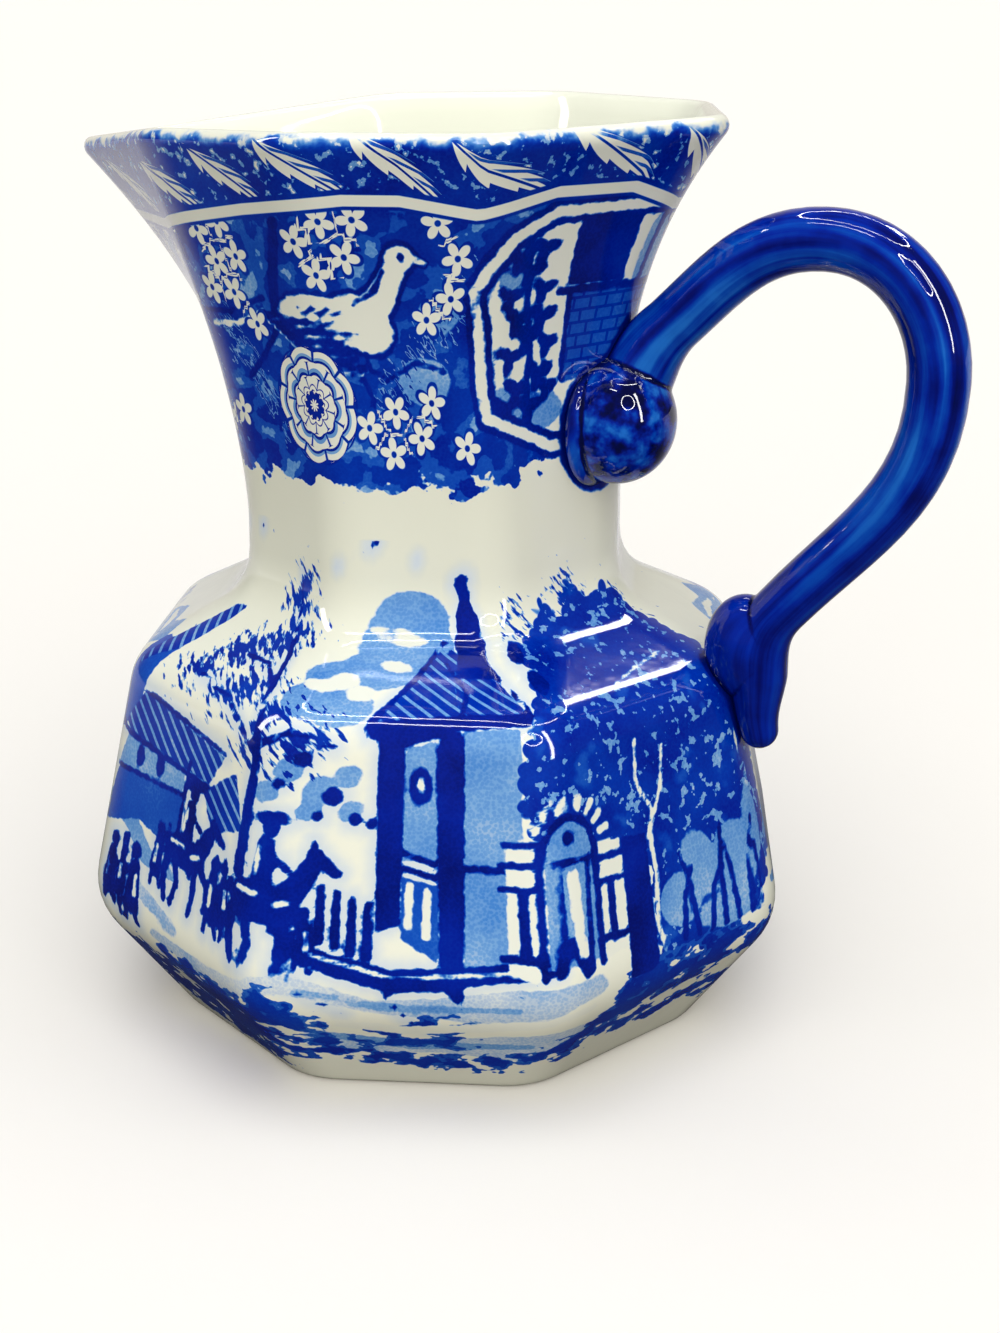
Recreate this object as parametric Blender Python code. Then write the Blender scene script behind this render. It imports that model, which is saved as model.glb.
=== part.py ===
import bpy
import bmesh
from math import atan2, cos, pi, radians, sin
from mathutils import Matrix, Vector

# Octagonal vessel. Reaches run from the vessel's axis to a corner of the octagon, on the outside,
# before the corner is rounded.
RIM_HEIGHT = 0.201
FOOT_REACH = 0.0645
BELLY_REACH = 0.0850
BELLY_HEIGHT = 0.0285
SHOULDER_REACH = 0.0718
SHOULDER_HEIGHT = 0.0857
NECK_REACH = 0.0445
NECK_HEIGHT = 0.0987
WAIST_HEIGHT = 0.1150
NECK_LEAN = 0.0012
WALL = 0.0046
FLOOR = 0.0060
FOOT_RING = 0.0075
FOOT_RECESS = 0.0018

# Rounding of the edges, seen from the side and from above.
FOOT_ROUND = 0.0016
BELLY_ROUND = 0.0075
SHOULDER_ROUND = 0.0060
NECK_ROUND = 0.0090
CORNER_ROUND = 0.0070
CORNER_STEPS = 4

# Mouth. Reaches run from the vessel's axis to the rim's corners, and dips are how far the rim stays
# below RIM_HEIGHT there. The near side is the one towards -Y, where the rim sags a little more.
BACK_REACH = 0.0660
BACK_DIP = 0.0002
FAR_QUARTER_REACH = 0.0645
FAR_QUARTER_DIP = 0.0004
NEAR_QUARTER_REACH = 0.0605
SIDE_REACH = 0.0618
SIDE_DIP = 0.0016
CHEEK_REACH = 0.0633
FAR_CHEEK_DIP = 0.0008
NEAR_CHEEK_DIP = 0.0028
SPOUT_REACH = 0.0968
SPOUT_DIP = 0.0100
SPOUT_ROUND = 0.0135

# The eight corners, anticlockwise from the handle. Each has its direction in degrees on the body and
# at the rim, how far the rim reaches there, how far it dips, how late the neck flares towards it, and
# its rounding at the rim.
CORNERS = [
    {"body": 0, "rim": 0, "reach": BACK_REACH, "dip": BACK_DIP, "late": 3.1, "round": CORNER_ROUND},
    {"body": 45, "rim": 46, "reach": FAR_QUARTER_REACH, "dip": FAR_QUARTER_DIP, "late": 2.4,
     "round": CORNER_ROUND},
    {"body": 90, "rim": 90, "reach": SIDE_REACH, "dip": 0.0, "late": 2.2, "round": CORNER_ROUND},
    {"body": 135, "rim": 130, "reach": CHEEK_REACH, "dip": FAR_CHEEK_DIP, "late": 1.5,
     "round": CORNER_ROUND},
    {"body": 180, "rim": 180, "reach": SPOUT_REACH, "dip": SPOUT_DIP, "late": 1.8,
     "round": SPOUT_ROUND},
    {"body": 225, "rim": 231, "reach": CHEEK_REACH, "dip": NEAR_CHEEK_DIP, "late": 1.5,
     "round": CORNER_ROUND},
    {"body": 270, "rim": 270, "reach": SIDE_REACH, "dip": SIDE_DIP, "late": 2.2, "round": CORNER_ROUND},
    {"body": 315, "rim": 308, "reach": NEAR_QUARTER_REACH, "dip": SIDE_DIP, "late": 2.4,
     "round": CORNER_ROUND},
]
FLARE_ROWS = 12
LIP_ROWS = 6

# Handle, in the plane of the first corner.
HANDLE_RADIUS = 0.0063
HANDLE_LOW_RADIUS = 0.0058
HANDLE_ROOT_RADIUS = 0.0090
HANDLE_ROOT_HEIGHT = 0.1430
ROOT_RISE = 0.0190
HANDLE_CROWN_OUT = 0.0425
HANDLE_CROWN_HEIGHT = 0.1780
HANDLE_GRIP_OUT = 0.0663
HANDLE_GRIP_HEIGHT = 0.1518
HEEL_OUT = 0.0090
HEEL_ABOVE_SHOULDER = 0.0150
TAIL_LENGTH = 0.0125
TAIL_RADIUS = 0.0042
HEEL_PAD_RADIUS = 0.0085

# Slopes of the handle's line above the level, in degrees: where it leaves the neck, a little higher,
# and where it comes down to the heel.
ROOT_SLOPE = 56.0
ARCH_SLOPE = 43.8
HEEL_SLOPE = 50.7

# Knob under the handle's upper root.
KNOB_HEIGHT = 0.1385
KNOB_RADIUS = 0.0127
KNOB_STAND = 0.0005
KNOB_ASIDE = 0.0035
KNOB_COLLAR_RADIUS = 0.0138


def clear_scene():
    for item in list(bpy.data.objects):
        bpy.data.objects.remove(item, do_unlink=True)


def glaze_material():
    material = bpy.data.materials.new("printed_glaze")
    material.use_nodes = True
    shader = material.node_tree.nodes["Principled BSDF"]
    shader.inputs["Base Color"].default_value = (0.22, 0.30, 0.56, 1.0)
    shader.inputs["Roughness"].default_value = 0.12
    shader.inputs["Metallic"].default_value = 0.0
    return material


def rounded(points, rounds, steps):
    """Replace each inner point of an open line by an arc-like bend that starts its own length away."""
    line = [points[0]]
    for before, corner, after, size in zip(points, points[1:], points[2:], rounds):
        for step in range(steps + 1):
            share = step / steps
            start = corner + (before - corner).normalized() * size
            end = corner + (after - corner).normalized() * size
            first = start.lerp(corner, share)
            second = corner.lerp(end, share)
            line.append(first.lerp(second, share))
    line.append(points[-1])
    return line


def neck_reach(corner):
    """Reach of the neck's narrow part, whose middle leans a little towards the spout."""
    return NECK_REACH - NECK_LEAN * cos(radians(corner["body"]))


def body_line(corner):
    """Outside of the body in one corner's plane, from the foot to the waist of the neck."""
    narrow = neck_reach(corner)
    points = [
        Vector((FOOT_REACH - FOOT_ROUND, 0)),
        Vector((FOOT_REACH, 0)),
        Vector((BELLY_REACH, BELLY_HEIGHT)),
        Vector((SHOULDER_REACH, SHOULDER_HEIGHT)),
        Vector((narrow, NECK_HEIGHT)),
        Vector((narrow, WAIST_HEIGHT)),
    ]
    return rounded(points, [FOOT_ROUND, BELLY_ROUND, SHOULDER_ROUND, NECK_ROUND], 5)


def flare_line(corner):
    """Outside of the neck in one corner's plane, from above the waist to the lip."""
    narrow = neck_reach(corner)
    rise = RIM_HEIGHT - corner["dip"] - WAIST_HEIGHT
    slope = atan2((corner["reach"] - narrow) * corner["late"], rise)
    top = rise - WALL / 2 * (1 + sin(slope))
    spread = corner["reach"] - WALL / 2 * (1 - cos(slope)) - narrow
    line = []
    for row in range(1, FLARE_ROWS + 1):
        share = row / FLARE_ROWS
        line.append(Vector((narrow + spread * share ** corner["late"], WAIST_HEIGHT + top * share)))
    return line


def sunk_line(outside, depth):
    """The same line, moved inwards through the wall."""
    last = len(outside) - 1
    line = []
    for row, point in enumerate(outside):
        along = outside[min(row + 1, last)] - outside[max(row - 1, 0)]
        line.append(point + Vector((-along.y, along.x)).normalized() * depth)
    return line


def wall_line(corner):
    """Whole wall in one corner's plane: up the outside, over the lip and down the inside."""
    outside = body_line(corner) + flare_line(corner)
    inside = sunk_line(outside, WALL)
    middle = (outside[-1] + inside[-1]) / 2
    outward = outside[-1] - middle
    upward = Vector((-outward.y, outward.x))
    lip = []
    for step in range(1, LIP_ROWS):
        turn = pi * step / LIP_ROWS
        lip.append(middle + outward * cos(turn) + upward * sin(turn))
    inside = [point for point in inside if point.y > FLOOR + WALL / 2]
    return outside + lip + inside[::-1]


def ring_of(corner_points, rounds):
    """One closed row of the octagon, with its corners rounded."""
    ring = []
    for index, corner in enumerate(corner_points):
        before = corner_points[index - 1]
        after = corner_points[(index + 1) % len(corner_points)]
        bend = rounded([before, corner, after], [rounds[index]], CORNER_STEPS)
        ring += bend[1:-1]
    return ring


def core_line(corner):
    """Middle of the wall in one corner's plane, from above the foot to below the lip."""
    middle = sunk_line(body_line(corner) + flare_line(corner), WALL / 2)
    return middle[8:-1]


def rows_around(lines):
    """One row around the vessel for each point of the eight corners' lines."""
    rows = []
    for row in range(len(lines[0])):
        points = []
        rounds = []
        for corner, line in zip(CORNERS, lines):
            reach, height = line[row]
            share = min(max((height - NECK_HEIGHT) / (RIM_HEIGHT - NECK_HEIGHT) * 2, 0.0), 1.0)
            turn = radians(corner["body"] + (corner["rim"] - corner["body"]) * share)
            points.append(Vector((reach * cos(turn), reach * sin(turn), height)))
            rounds.append(CORNER_ROUND + (corner["round"] - CORNER_ROUND) * share ** 3)
        rows.append(ring_of(points, rounds))
    return rows


def level_row(reach, height):
    points = []
    for corner in CORNERS:
        turn = radians(corner["body"])
        points.append(Vector((reach * cos(turn), reach * sin(turn), height)))
    return ring_of(points, [CORNER_ROUND] * len(CORNERS))


def add_solid(name, rows, low_centre, high_centre):
    """A closed solid skinned over rows of points, each end closed to a middle point."""
    mesh = bpy.data.meshes.new(name)
    shape = bmesh.new()
    rings = [[shape.verts.new(point) for point in row] for row in rows]
    for lower, upper in zip(rings, rings[1:]):
        for index in range(len(lower)):
            after = (index + 1) % len(lower)
            shape.faces.new((lower[index], lower[after], upper[after], upper[index]))
    for ring, centre in ((rings[0], low_centre), (rings[-1], high_centre)):
        middle = shape.verts.new(centre)
        for index in range(len(ring)):
            shape.faces.new((ring[index], ring[(index + 1) % len(ring)], middle))
    bmesh.ops.recalc_face_normals(shape, faces=shape.faces)
    for face in shape.faces:
        face.smooth = True
    shape.to_mesh(mesh)
    shape.free()
    solid = bpy.data.objects.new(name, mesh)
    bpy.context.collection.objects.link(solid)
    return solid


def make_vessel():
    ring_inside = FOOT_REACH - FOOT_ROUND - FOOT_RING
    floor_reach = FOOT_REACH + (BELLY_REACH - FOOT_REACH) * FLOOR / BELLY_HEIGHT - WALL * 2
    rows = [level_row(ring_inside - FOOT_RECESS, FOOT_RECESS), level_row(ring_inside, 0.0)]
    rows += rows_around([wall_line(corner) for corner in CORNERS])
    rows.append(level_row(floor_reach, FLOOR))
    return add_solid("pitcher", rows, Vector((0, 0, FOOT_RECESS)), Vector((0, 0, FLOOR)))


def make_core():
    """Solid that fills the vessel up to the middle of its wall, to trim what is joined on."""
    rows = rows_around([core_line(corner) for corner in CORNERS])
    return add_solid("core", rows, Vector((0, 0, rows[0][0].z)), Vector((0, 0, rows[-1][0].z)))


def neck_reach_at(height):
    """Reach of the neck's outside at a height, in the plane of the first corner."""
    corner = CORNERS[0]
    narrow = neck_reach(corner)
    share = max(height - WAIST_HEIGHT, 0.0) / (RIM_HEIGHT - WAIST_HEIGHT)
    return narrow + (corner["reach"] - narrow) * share ** corner["late"]


def handle_knots():
    """Point, direction and radius along the handle, from inside the neck to the tail's tip."""
    rising = Vector((cos(radians(ROOT_SLOPE)), sin(radians(ROOT_SLOPE))))
    arching = Vector((cos(radians(ARCH_SLOPE)), sin(radians(ARCH_SLOPE))))
    homing = -Vector((cos(radians(HEEL_SLOPE)), sin(radians(HEEL_SLOPE))))
    root = Vector((neck_reach_at(HANDLE_ROOT_HEIGHT), HANDLE_ROOT_HEIGHT))
    fall = (BELLY_REACH - SHOULDER_REACH) / (SHOULDER_HEIGHT - BELLY_HEIGHT)
    tail = SHOULDER_REACH + fall * TAIL_LENGTH + TAIL_RADIUS * 0.7
    heel_height = SHOULDER_HEIGHT + HEEL_ABOVE_SHOULDER
    return [
        (root, rising, HANDLE_ROOT_RADIUS),
        (root + rising * ROOT_RISE, arching, HANDLE_RADIUS),
        (Vector((NECK_REACH + HANDLE_CROWN_OUT, HANDLE_CROWN_HEIGHT)), Vector((1, 0)), HANDLE_RADIUS),
        (Vector((NECK_REACH + HANDLE_GRIP_OUT, HANDLE_GRIP_HEIGHT)), Vector((0, -1)), HANDLE_RADIUS),
        (Vector((SHOULDER_REACH + HEEL_OUT, heel_height)), homing, HANDLE_LOW_RADIUS),
        (Vector((SHOULDER_REACH + HANDLE_RADIUS * 0.8, SHOULDER_HEIGHT)), Vector((0, -1)), HANDLE_RADIUS),
        (Vector((tail, SHOULDER_HEIGHT - TAIL_LENGTH)), Vector((fall, -1)), TAIL_RADIUS),
    ]


def make_handle():
    steps = 9
    sides = 18
    line = []
    knots = handle_knots()
    for (start, out, radius), (end, into, next_radius) in zip(knots, knots[1:]):
        pull = (end - start).length * 0.40
        guides = (start, start + out.normalized() * pull, end - into.normalized() * pull, end)
        for step in range(steps):
            share = step / steps
            rest = 1 - share
            weights = (rest ** 3, 3 * rest ** 2 * share, 3 * rest * share ** 2, share ** 3)
            point = sum((guide * weight for guide, weight in zip(guides, weights)), Vector((0, 0)))
            line.append((point, radius + (next_radius - radius) * share))
    line.append((knots[-1][0], knots[-1][2]))
    tip, tip_radius = line[-1]
    ending = knots[-1][1].normalized()
    for step in range(1, 4):
        turn = pi / 2 * step / 4
        line.append((tip + ending * tip_radius * sin(turn), tip_radius * cos(turn)))
    rows = []
    for index, (point, radius) in enumerate(line):
        along = line[min(index + 1, len(line) - 1)][0] - line[max(index - 1, 0)][0]
        across = Vector((-along.y, along.x)).normalized()
        row = []
        for side in range(sides):
            turn = 2 * pi * side / sides
            level = point + across * radius * cos(turn)
            row.append(Vector((level.x, radius * sin(turn), level.y)))
        rows.append(row)
    start = Vector((line[0][0].x, 0, line[0][0].y))
    end = tip + ending * tip_radius
    return add_solid("handle", rows, start, Vector((end.x, 0, end.y)))


def make_ball(name, centre, radii, segments, rings):
    mesh = bpy.data.meshes.new(name)
    shape = bmesh.new()
    bmesh.ops.create_uvsphere(shape, u_segments=segments, v_segments=rings, radius=1.0)
    stretch = Matrix.Translation(centre) @ Matrix.Diagonal((*radii, 1.0))
    bmesh.ops.transform(shape, matrix=stretch, verts=shape.verts)
    for face in shape.faces:
        face.smooth = True
    shape.to_mesh(mesh)
    shape.free()
    ball = bpy.data.objects.new(name, mesh)
    bpy.context.collection.objects.link(ball)
    return ball


def make_heel_pad():
    centre = Vector((SHOULDER_REACH + HEEL_OUT * 0.2, 0, SHOULDER_HEIGHT + HEEL_ABOVE_SHOULDER * 0.62))
    radii = (HEEL_PAD_RADIUS * 1.12, HEEL_PAD_RADIUS * 0.88, HEEL_PAD_RADIUS)
    return make_ball("heel_pad", centre, radii, 18, 12)


def make_knob():
    reach = neck_reach_at(KNOB_HEIGHT)
    centre = Vector((reach + KNOB_STAND, -KNOB_ASIDE, KNOB_HEIGHT))
    return make_ball("knob", centre, (KNOB_RADIUS, KNOB_RADIUS, KNOB_RADIUS * 1.06), 22, 14)


def make_collar():
    reach = neck_reach_at(KNOB_HEIGHT)
    centre = Vector((reach - WALL * 0.9, -KNOB_ASIDE, KNOB_HEIGHT - KNOB_RADIUS * 0.08))
    radii = (WALL * 0.9, KNOB_COLLAR_RADIUS, KNOB_COLLAR_RADIUS)
    return make_ball("collar", centre, radii, 22, 12)


def combine(base, other, operation):
    """Unite another solid with the first, or cut it out of the first, and remove it."""
    step = base.modifiers.new("combine", "BOOLEAN")
    step.operation = operation
    step.solver = "EXACT"
    step.object = other
    other.hide_render = True
    other.display_type = "WIRE"
    bpy.context.view_layer.update()
    result = base.evaluated_get(bpy.context.evaluated_depsgraph_get())
    base.data = bpy.data.meshes.new_from_object(result)
    base.modifiers.remove(step)
    bpy.data.objects.remove(other, do_unlink=True)


def centre_on_box(solid):
    """Put the origin under the middle of the solid's box, on the surface it stands on."""
    across = [vertex.co.x for vertex in solid.data.vertices]
    deep = [vertex.co.y for vertex in solid.data.vertices]
    low = min(vertex.co.z for vertex in solid.data.vertices)
    shift = Vector((-(min(across) + max(across)) / 2, -(min(deep) + max(deep)) / 2, -low))
    solid.data.transform(Matrix.Translation(shift))


def main():
    clear_scene()
    handle = make_handle()
    for addition in (make_heel_pad(), make_knob(), make_collar()):
        combine(handle, addition, "UNION")
    combine(handle, make_core(), "DIFFERENCE")
    pitcher = make_vessel()
    combine(pitcher, handle, "UNION")
    pitcher.data.materials.clear()
    pitcher.data.materials.append(glaze_material())
    for face in pitcher.data.polygons:
        face.use_smooth = True
        face.material_index = 0
    pitcher.name = "pitcher"
    pitcher.data.name = "pitcher"
    centre_on_box(pitcher)


main()
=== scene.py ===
import bpy
import math
import numpy as np
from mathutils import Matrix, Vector
from mathutils.bvhtree import BVHTree


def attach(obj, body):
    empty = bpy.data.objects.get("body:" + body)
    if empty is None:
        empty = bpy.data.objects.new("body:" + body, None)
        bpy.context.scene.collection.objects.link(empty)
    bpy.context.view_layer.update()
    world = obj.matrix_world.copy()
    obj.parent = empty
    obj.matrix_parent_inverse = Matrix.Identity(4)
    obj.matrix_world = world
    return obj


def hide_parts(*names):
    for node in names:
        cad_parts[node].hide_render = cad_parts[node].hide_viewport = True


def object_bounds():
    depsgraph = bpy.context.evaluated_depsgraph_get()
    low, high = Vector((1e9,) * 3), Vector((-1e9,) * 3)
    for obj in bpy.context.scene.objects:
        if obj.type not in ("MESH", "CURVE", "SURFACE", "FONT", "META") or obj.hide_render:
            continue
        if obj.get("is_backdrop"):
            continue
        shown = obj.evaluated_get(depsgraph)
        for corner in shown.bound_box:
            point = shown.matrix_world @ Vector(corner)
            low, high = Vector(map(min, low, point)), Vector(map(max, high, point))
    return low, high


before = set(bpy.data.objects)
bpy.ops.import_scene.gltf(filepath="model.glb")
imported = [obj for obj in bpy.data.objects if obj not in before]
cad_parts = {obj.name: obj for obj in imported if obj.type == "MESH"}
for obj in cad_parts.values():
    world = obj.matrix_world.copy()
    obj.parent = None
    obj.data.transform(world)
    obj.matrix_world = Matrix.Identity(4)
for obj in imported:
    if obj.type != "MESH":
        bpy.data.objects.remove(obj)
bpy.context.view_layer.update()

# Sizes are in mm and turned to metres where a mesh is made.
vessel = {
    "rimHeight": 201.0, "footReach": 64.5, "bellyReach": 85.0, "bellyHeight": 28.5,
    "shoulderReach": 71.8, "shoulderHeight": 85.7, "neckReach": 44.5, "neckHeight": 98.7,
    "waistHeight": 115.0, "neckLean": 1.2, "wall": 4.6, "floor": 6.0, "floorCorner": 2.3,
    "footRing": 7.5, "footRecess": 1.8, "cornerRound": 7.0,
    "bends": [1.6, 7.5, 6.0, 9.0],            # rounding at foot, belly, shoulder and neck
    "bendRows": [4, 6, 6, 5],
    "straightRows": [1, 20, 64, 22, 5],       # rows on the straight runs between the bends
    "flareRows": 84, "lipRows": 8, "cornerSteps": 8,
    "innerStep": 5, "innerStart": 4,          # the inside has fewer rows, and starts this far down
    "axisX": -12.71,                          # the vessel's axis in the row's frame
}
# The eight corners, anticlockwise from the handle: direction on the body and at the rim, reach and
# dip of the rim, how late the neck flares, rounding at the rim, columns of the facet that follows.
corners = [dict(zip(("body", "rim", "reach", "dip", "late", "round", "columns"), values)) for values in (
    (0, 0, 66.0, 0.2, 3.1, 7.0, 30), (45, 46, 64.5, 0.4, 2.4, 7.0, 30),
    (90, 90, 61.8, 0.0, 2.2, 7.0, 30), (135, 130, 63.3, 0.8, 1.5, 7.0, 30),
    (180, 180, 96.8, 10.0, 1.8, 13.5, 38), (225, 231, 63.3, 2.8, 1.5, 7.0, 58),
    (270, 270, 61.8, 1.6, 2.2, 7.0, 58), (315, 308, 60.5, 1.6, 2.4, 7.0, 58))]


def unit(vector):
    return vector / np.linalg.norm(vector)


def curveAt(start, corner, end, share):
    # A point on the rounding that runs from start to end inside a corner.
    first = start + (corner - start) * share
    second = corner + (end - corner) * share
    return first + (second - first) * share


def waistReach(corner):
    # Reach of the narrow neck in a corner's plane.
    return vessel["neckReach"] - vessel["neckLean"] * math.cos(math.radians(corner["body"]))


def outsideLine(corner):
    # The wall's outside in one corner's plane, as (reach, height), from the foot to the lip.
    size, narrow = vessel, waistReach(corner)
    knots = [np.array(knot, float) for knot in (
        (size["footReach"] - size["bends"][0], 0), (size["footReach"], 0),
        (size["bellyReach"], size["bellyHeight"]), (size["shoulderReach"], size["shoulderHeight"]),
        (narrow, size["neckHeight"]), (narrow, size["waistHeight"]))]
    line = [knots[0]]
    for index in range(1, len(knots)):
        knot = knots[index]
        last = index == len(knots) - 1
        start = knot if last else knot + unit(knots[index - 1] - knot) * size["bends"][index - 1]
        rows = size["straightRows"][index - 1]
        line += [line[-1] + (start - line[-1]) * (row / rows) for row in range(1, rows + 1)]
        if not last:
            end = knot + unit(knots[index + 1] - knot) * size["bends"][index - 1]
            steps = size["bendRows"][index - 1]
            line += [curveAt(start, knot, end, step / steps) for step in range(1, steps + 1)]
    rise = size["rimHeight"] - corner["dip"] - size["waistHeight"]
    slope = math.atan2((corner["reach"] - narrow) * corner["late"], rise)
    top = rise - size["wall"] / 2 * (1 + math.sin(slope))
    spread = corner["reach"] - size["wall"] / 2 * (1 - math.cos(slope)) - narrow
    for row in range(1, size["flareRows"] + 1):
        share = row / size["flareRows"]
        line.append(np.array((narrow + spread * share ** corner["late"], size["waistHeight"] + top * share)))
    return np.array(line)


def sunkLine(outside, depth):
    # The same line inside the wall, at a depth from its outside.
    along = np.gradient(outside, axis=0)
    inward = np.stack([-along[:, 1], along[:, 0]], 1)
    return outside + inward / np.linalg.norm(inward, axis=1)[:, None] * depth


def ringAt(reaches, heights, half=False):
    # One closed row, with the eight corners rounded. It starts at the middle of the handle's corner.
    size = vessel
    points, rounds = [], []
    for corner, reach, height in zip(corners, reaches, heights):
        high = (height - size["neckHeight"]) / (size["rimHeight"] - size["neckHeight"]) * 2
        share = min(max(high, 0.0), 1.0)
        turn = math.radians(corner["body"] + (corner["rim"] - corner["body"]) * share)
        points.append(np.array((reach * math.cos(turn), reach * math.sin(turn), height)))
        rounds.append(size["cornerRound"] + (corner["round"] - size["cornerRound"]) * share ** 3)
    step, steps = 2 if half else 1, size["cornerSteps"]
    bends = []
    for index, point in enumerate(points):
        start = point + unit(points[index - 1] - point) * rounds[index]
        end = point + unit(points[(index + 1) % 8] - point) * rounds[index]
        bends.append([curveAt(start, point, end, s / steps) for s in range(0, steps + 1, step)])
    ring = []
    for index, corner in enumerate(corners):
        flat = corner["columns"] // step
        start, end = bends[index][-1], bends[(index + 1) % 8][0]
        ring += bends[index][:-1]
        ring += [start + (end - start) * (column / flat) for column in range(flat)]
    return np.roll(np.array(ring), -(steps // 2 // step), axis=0)


def ringOf(lines, row, half=False):
    return ringAt([line[row][0] for line in lines], [line[row][1] for line in lines], half)


def addMesh(name, points, faces):
    mesh = bpy.data.meshes.new(name)
    mesh.from_pydata(points, [], faces)
    mesh.polygons.foreach_set("use_smooth", [True] * len(mesh.polygons))
    mesh.update()
    made = bpy.data.objects.new(name, mesh)
    bpy.context.scene.collection.objects.link(made)
    return made


def skinOver(rings):
    # Quads between rings of vertex numbers that run anticlockwise, each above the one before.
    return [quad for low, high in zip(rings, rings[1:])
            for quad in zip(low, np.roll(low, -1), np.roll(high, -1), high)]


def fanTo(middle, ring, under=False):
    # Triangles that close a ring at its middle; under is for a ring that is seen from below.
    pairs = zip(np.roll(ring, -1), ring) if under else zip(ring, np.roll(ring, -1))
    return [(a, b, middle) for a, b in pairs]


def readVectors(mesh, name):
    found = np.zeros(len(mesh.vertices) * 3)
    mesh.vertices.foreach_get(name, found)
    return found.reshape(-1, 3)


def storeValues(piece, name, values):
    # A number or a vector for each point, which the glazes read by its name.
    kind, field = ("FLOAT", "value") if values.ndim == 1 else ("FLOAT_VECTOR", "vector")
    made = piece.data.attributes.new(name, kind, "POINT")
    made.data.foreach_set(field, values.astype(np.float32).ravel())


def makeVessel():
    size = vessel
    lines = [outsideLine(corner) for corner in corners]
    sunk = [sunkLine(line, size["wall"]) for line in lines]
    outer = len(lines[0])
    inside = size["footReach"] - size["bends"][0] - size["footRing"]
    under = [(inside - size["footRecess"], size["footRecess"]), (inside, 0.0)]
    rings = [ringAt([reach] * 8, [height] * 8) for reach, height in under]
    rings += [ringOf(lines, row) for row in range(outer)]
    for step in range(1, size["lipRows"] + 1):
        turn = math.pi * step / size["lipRows"]
        around = []
        for line, inner in zip(lines, sunk):
            middle = (line[-1] + inner[-1]) / 2
            outward = line[-1] - middle
            upward = np.array((-outward[1], outward[0]))
            around.append([middle + outward * math.cos(turn) + upward * math.sin(turn)])
        rings.append(ringOf(around, 0))
    lowest = size["floor"] + size["floorCorner"]
    coarse = [ringOf(sunk, row, half=True) for row in range(outer - size["innerStart"], 0, -size["innerStep"])
              if sunk[2][row][1] > lowest]
    widening = (size["bellyReach"] - size["footReach"]) * size["floor"] / size["bellyHeight"]
    floorReach = size["footReach"] + widening - size["wall"] * 2
    coarse += [ringAt([reach] * 8, [size["floor"]] * 8, half=True) for reach in (floorReach, floorReach * 0.5)]
    columns, few = len(rings[0]), len(coarse[0])
    middles = [[(0, 0, size["footRecess"])], [(0, 0, size["floor"])]]
    points = np.concatenate(rings + coarse + middles)
    fine = np.arange(columns * len(rings)).reshape(-1, columns)
    thin = np.arange(few * len(coarse)).reshape(-1, few) + fine.size
    faces = skinOver(fine)
    last, first = fine[-1], thin[0]
    for column in range(few):                 # two fine columns meet one coarse one
        a, b, c = last[2 * column], last[2 * column + 1], last[(2 * column + 2) % columns]
        d, e = first[column], first[(column + 1) % few]
        faces += [(a, b, d), (b, e, d), (b, c, e)]
    faces += skinOver(thin)
    faces += fanTo(len(points) - 2, fine[0], under=True) + fanTo(len(points) - 1, thin[-1])
    points[:, 0] += size["axisX"]
    made = addMesh("pitcherVessel", points / 1000, faces)
    return made, placeOnVessel(np.array(rings), lines, len(points))


def placeOnVessel(grid, lines, count):
    # How far round, counted in facets, and how far up the outside in mm, for every point.
    size = vessel
    rows, columns = grid.shape[:2]
    gaps = np.linalg.norm(np.roll(grid, -1, axis=1) - grid, axis=2)
    around, low = np.zeros((rows, columns)), 0
    for facet, corner in enumerate(corners):
        high = low + corner["columns"] + size["cornerSteps"]
        run = np.cumsum(gaps[:, low:high], axis=1)
        around[:, low + 1:high] = run[:, :-1] / run[:, -1:]
        around[:, low:high] += facet
        low = high
    meanLine = np.mean(lines, axis=0)
    climb = np.concatenate([[0], np.cumsum(np.linalg.norm(np.diff(meanLine, axis=0), axis=1))])
    lipClimb = np.arange(1, size["lipRows"] + 1) * math.pi * size["wall"] / 2 / size["lipRows"]
    underside, farInside = [-5.0, -5.0], 400.0            # out of the print's reach
    found = np.zeros((count, 2))
    found[:, 1] = farInside
    found[:rows * columns, 0] = around.ravel()
    found[:rows * columns, 1] = np.repeat(np.concatenate([underside, climb, climb[-1] + lipClimb]), columns)
    return found


pitcher, place = makeVessel()
print("vessel:", len(pitcher.data.vertices), "points")

# The print is drawn on two flat strips, each four facets long, so the front and the back carry the same
# picture, as two pulls of one copper plate do. A layer holds, at each point, the depth in mm inside its shapes.
stripWidths = {"body": 60.0, "neck": 40.0}    # one facet on the strip, in mm
neckFrom = 141.0                              # where the neck's strip begins, in mm up the outside
deepest = 6.0                                 # depths are kept to 6 mm each way
layers = {name: np.full(len(place), -deepest) for name in (
    "pale", "wash", "middle", "tiles", "spray", "dense", "turf", "ink", "cut", "shade", "bricks", "line",
    "bright")}


def strokeDepth(x, y, points, widths):
    # Round brush stroke through the points; the width runs evenly over the values given.
    depth = np.full(len(x), -9.0)
    thick = np.interp(np.linspace(0, 1, len(points)), np.linspace(0, 1, len(widths)), widths) / 2
    for (ax, ay), (bx, by), start, end in zip(points, points[1:], thick, thick[1:]):
        lx, ly = bx - ax, by - ay
        share = np.clip(((x - ax) * lx + (y - ay) * ly) / max(lx * lx + ly * ly, 1e-9), 0, 1)
        away = np.hypot(x - ax - lx * share, y - ay - ly * share)
        depth = np.maximum(depth, start + (end - start) * share - away)
    return depth


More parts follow.
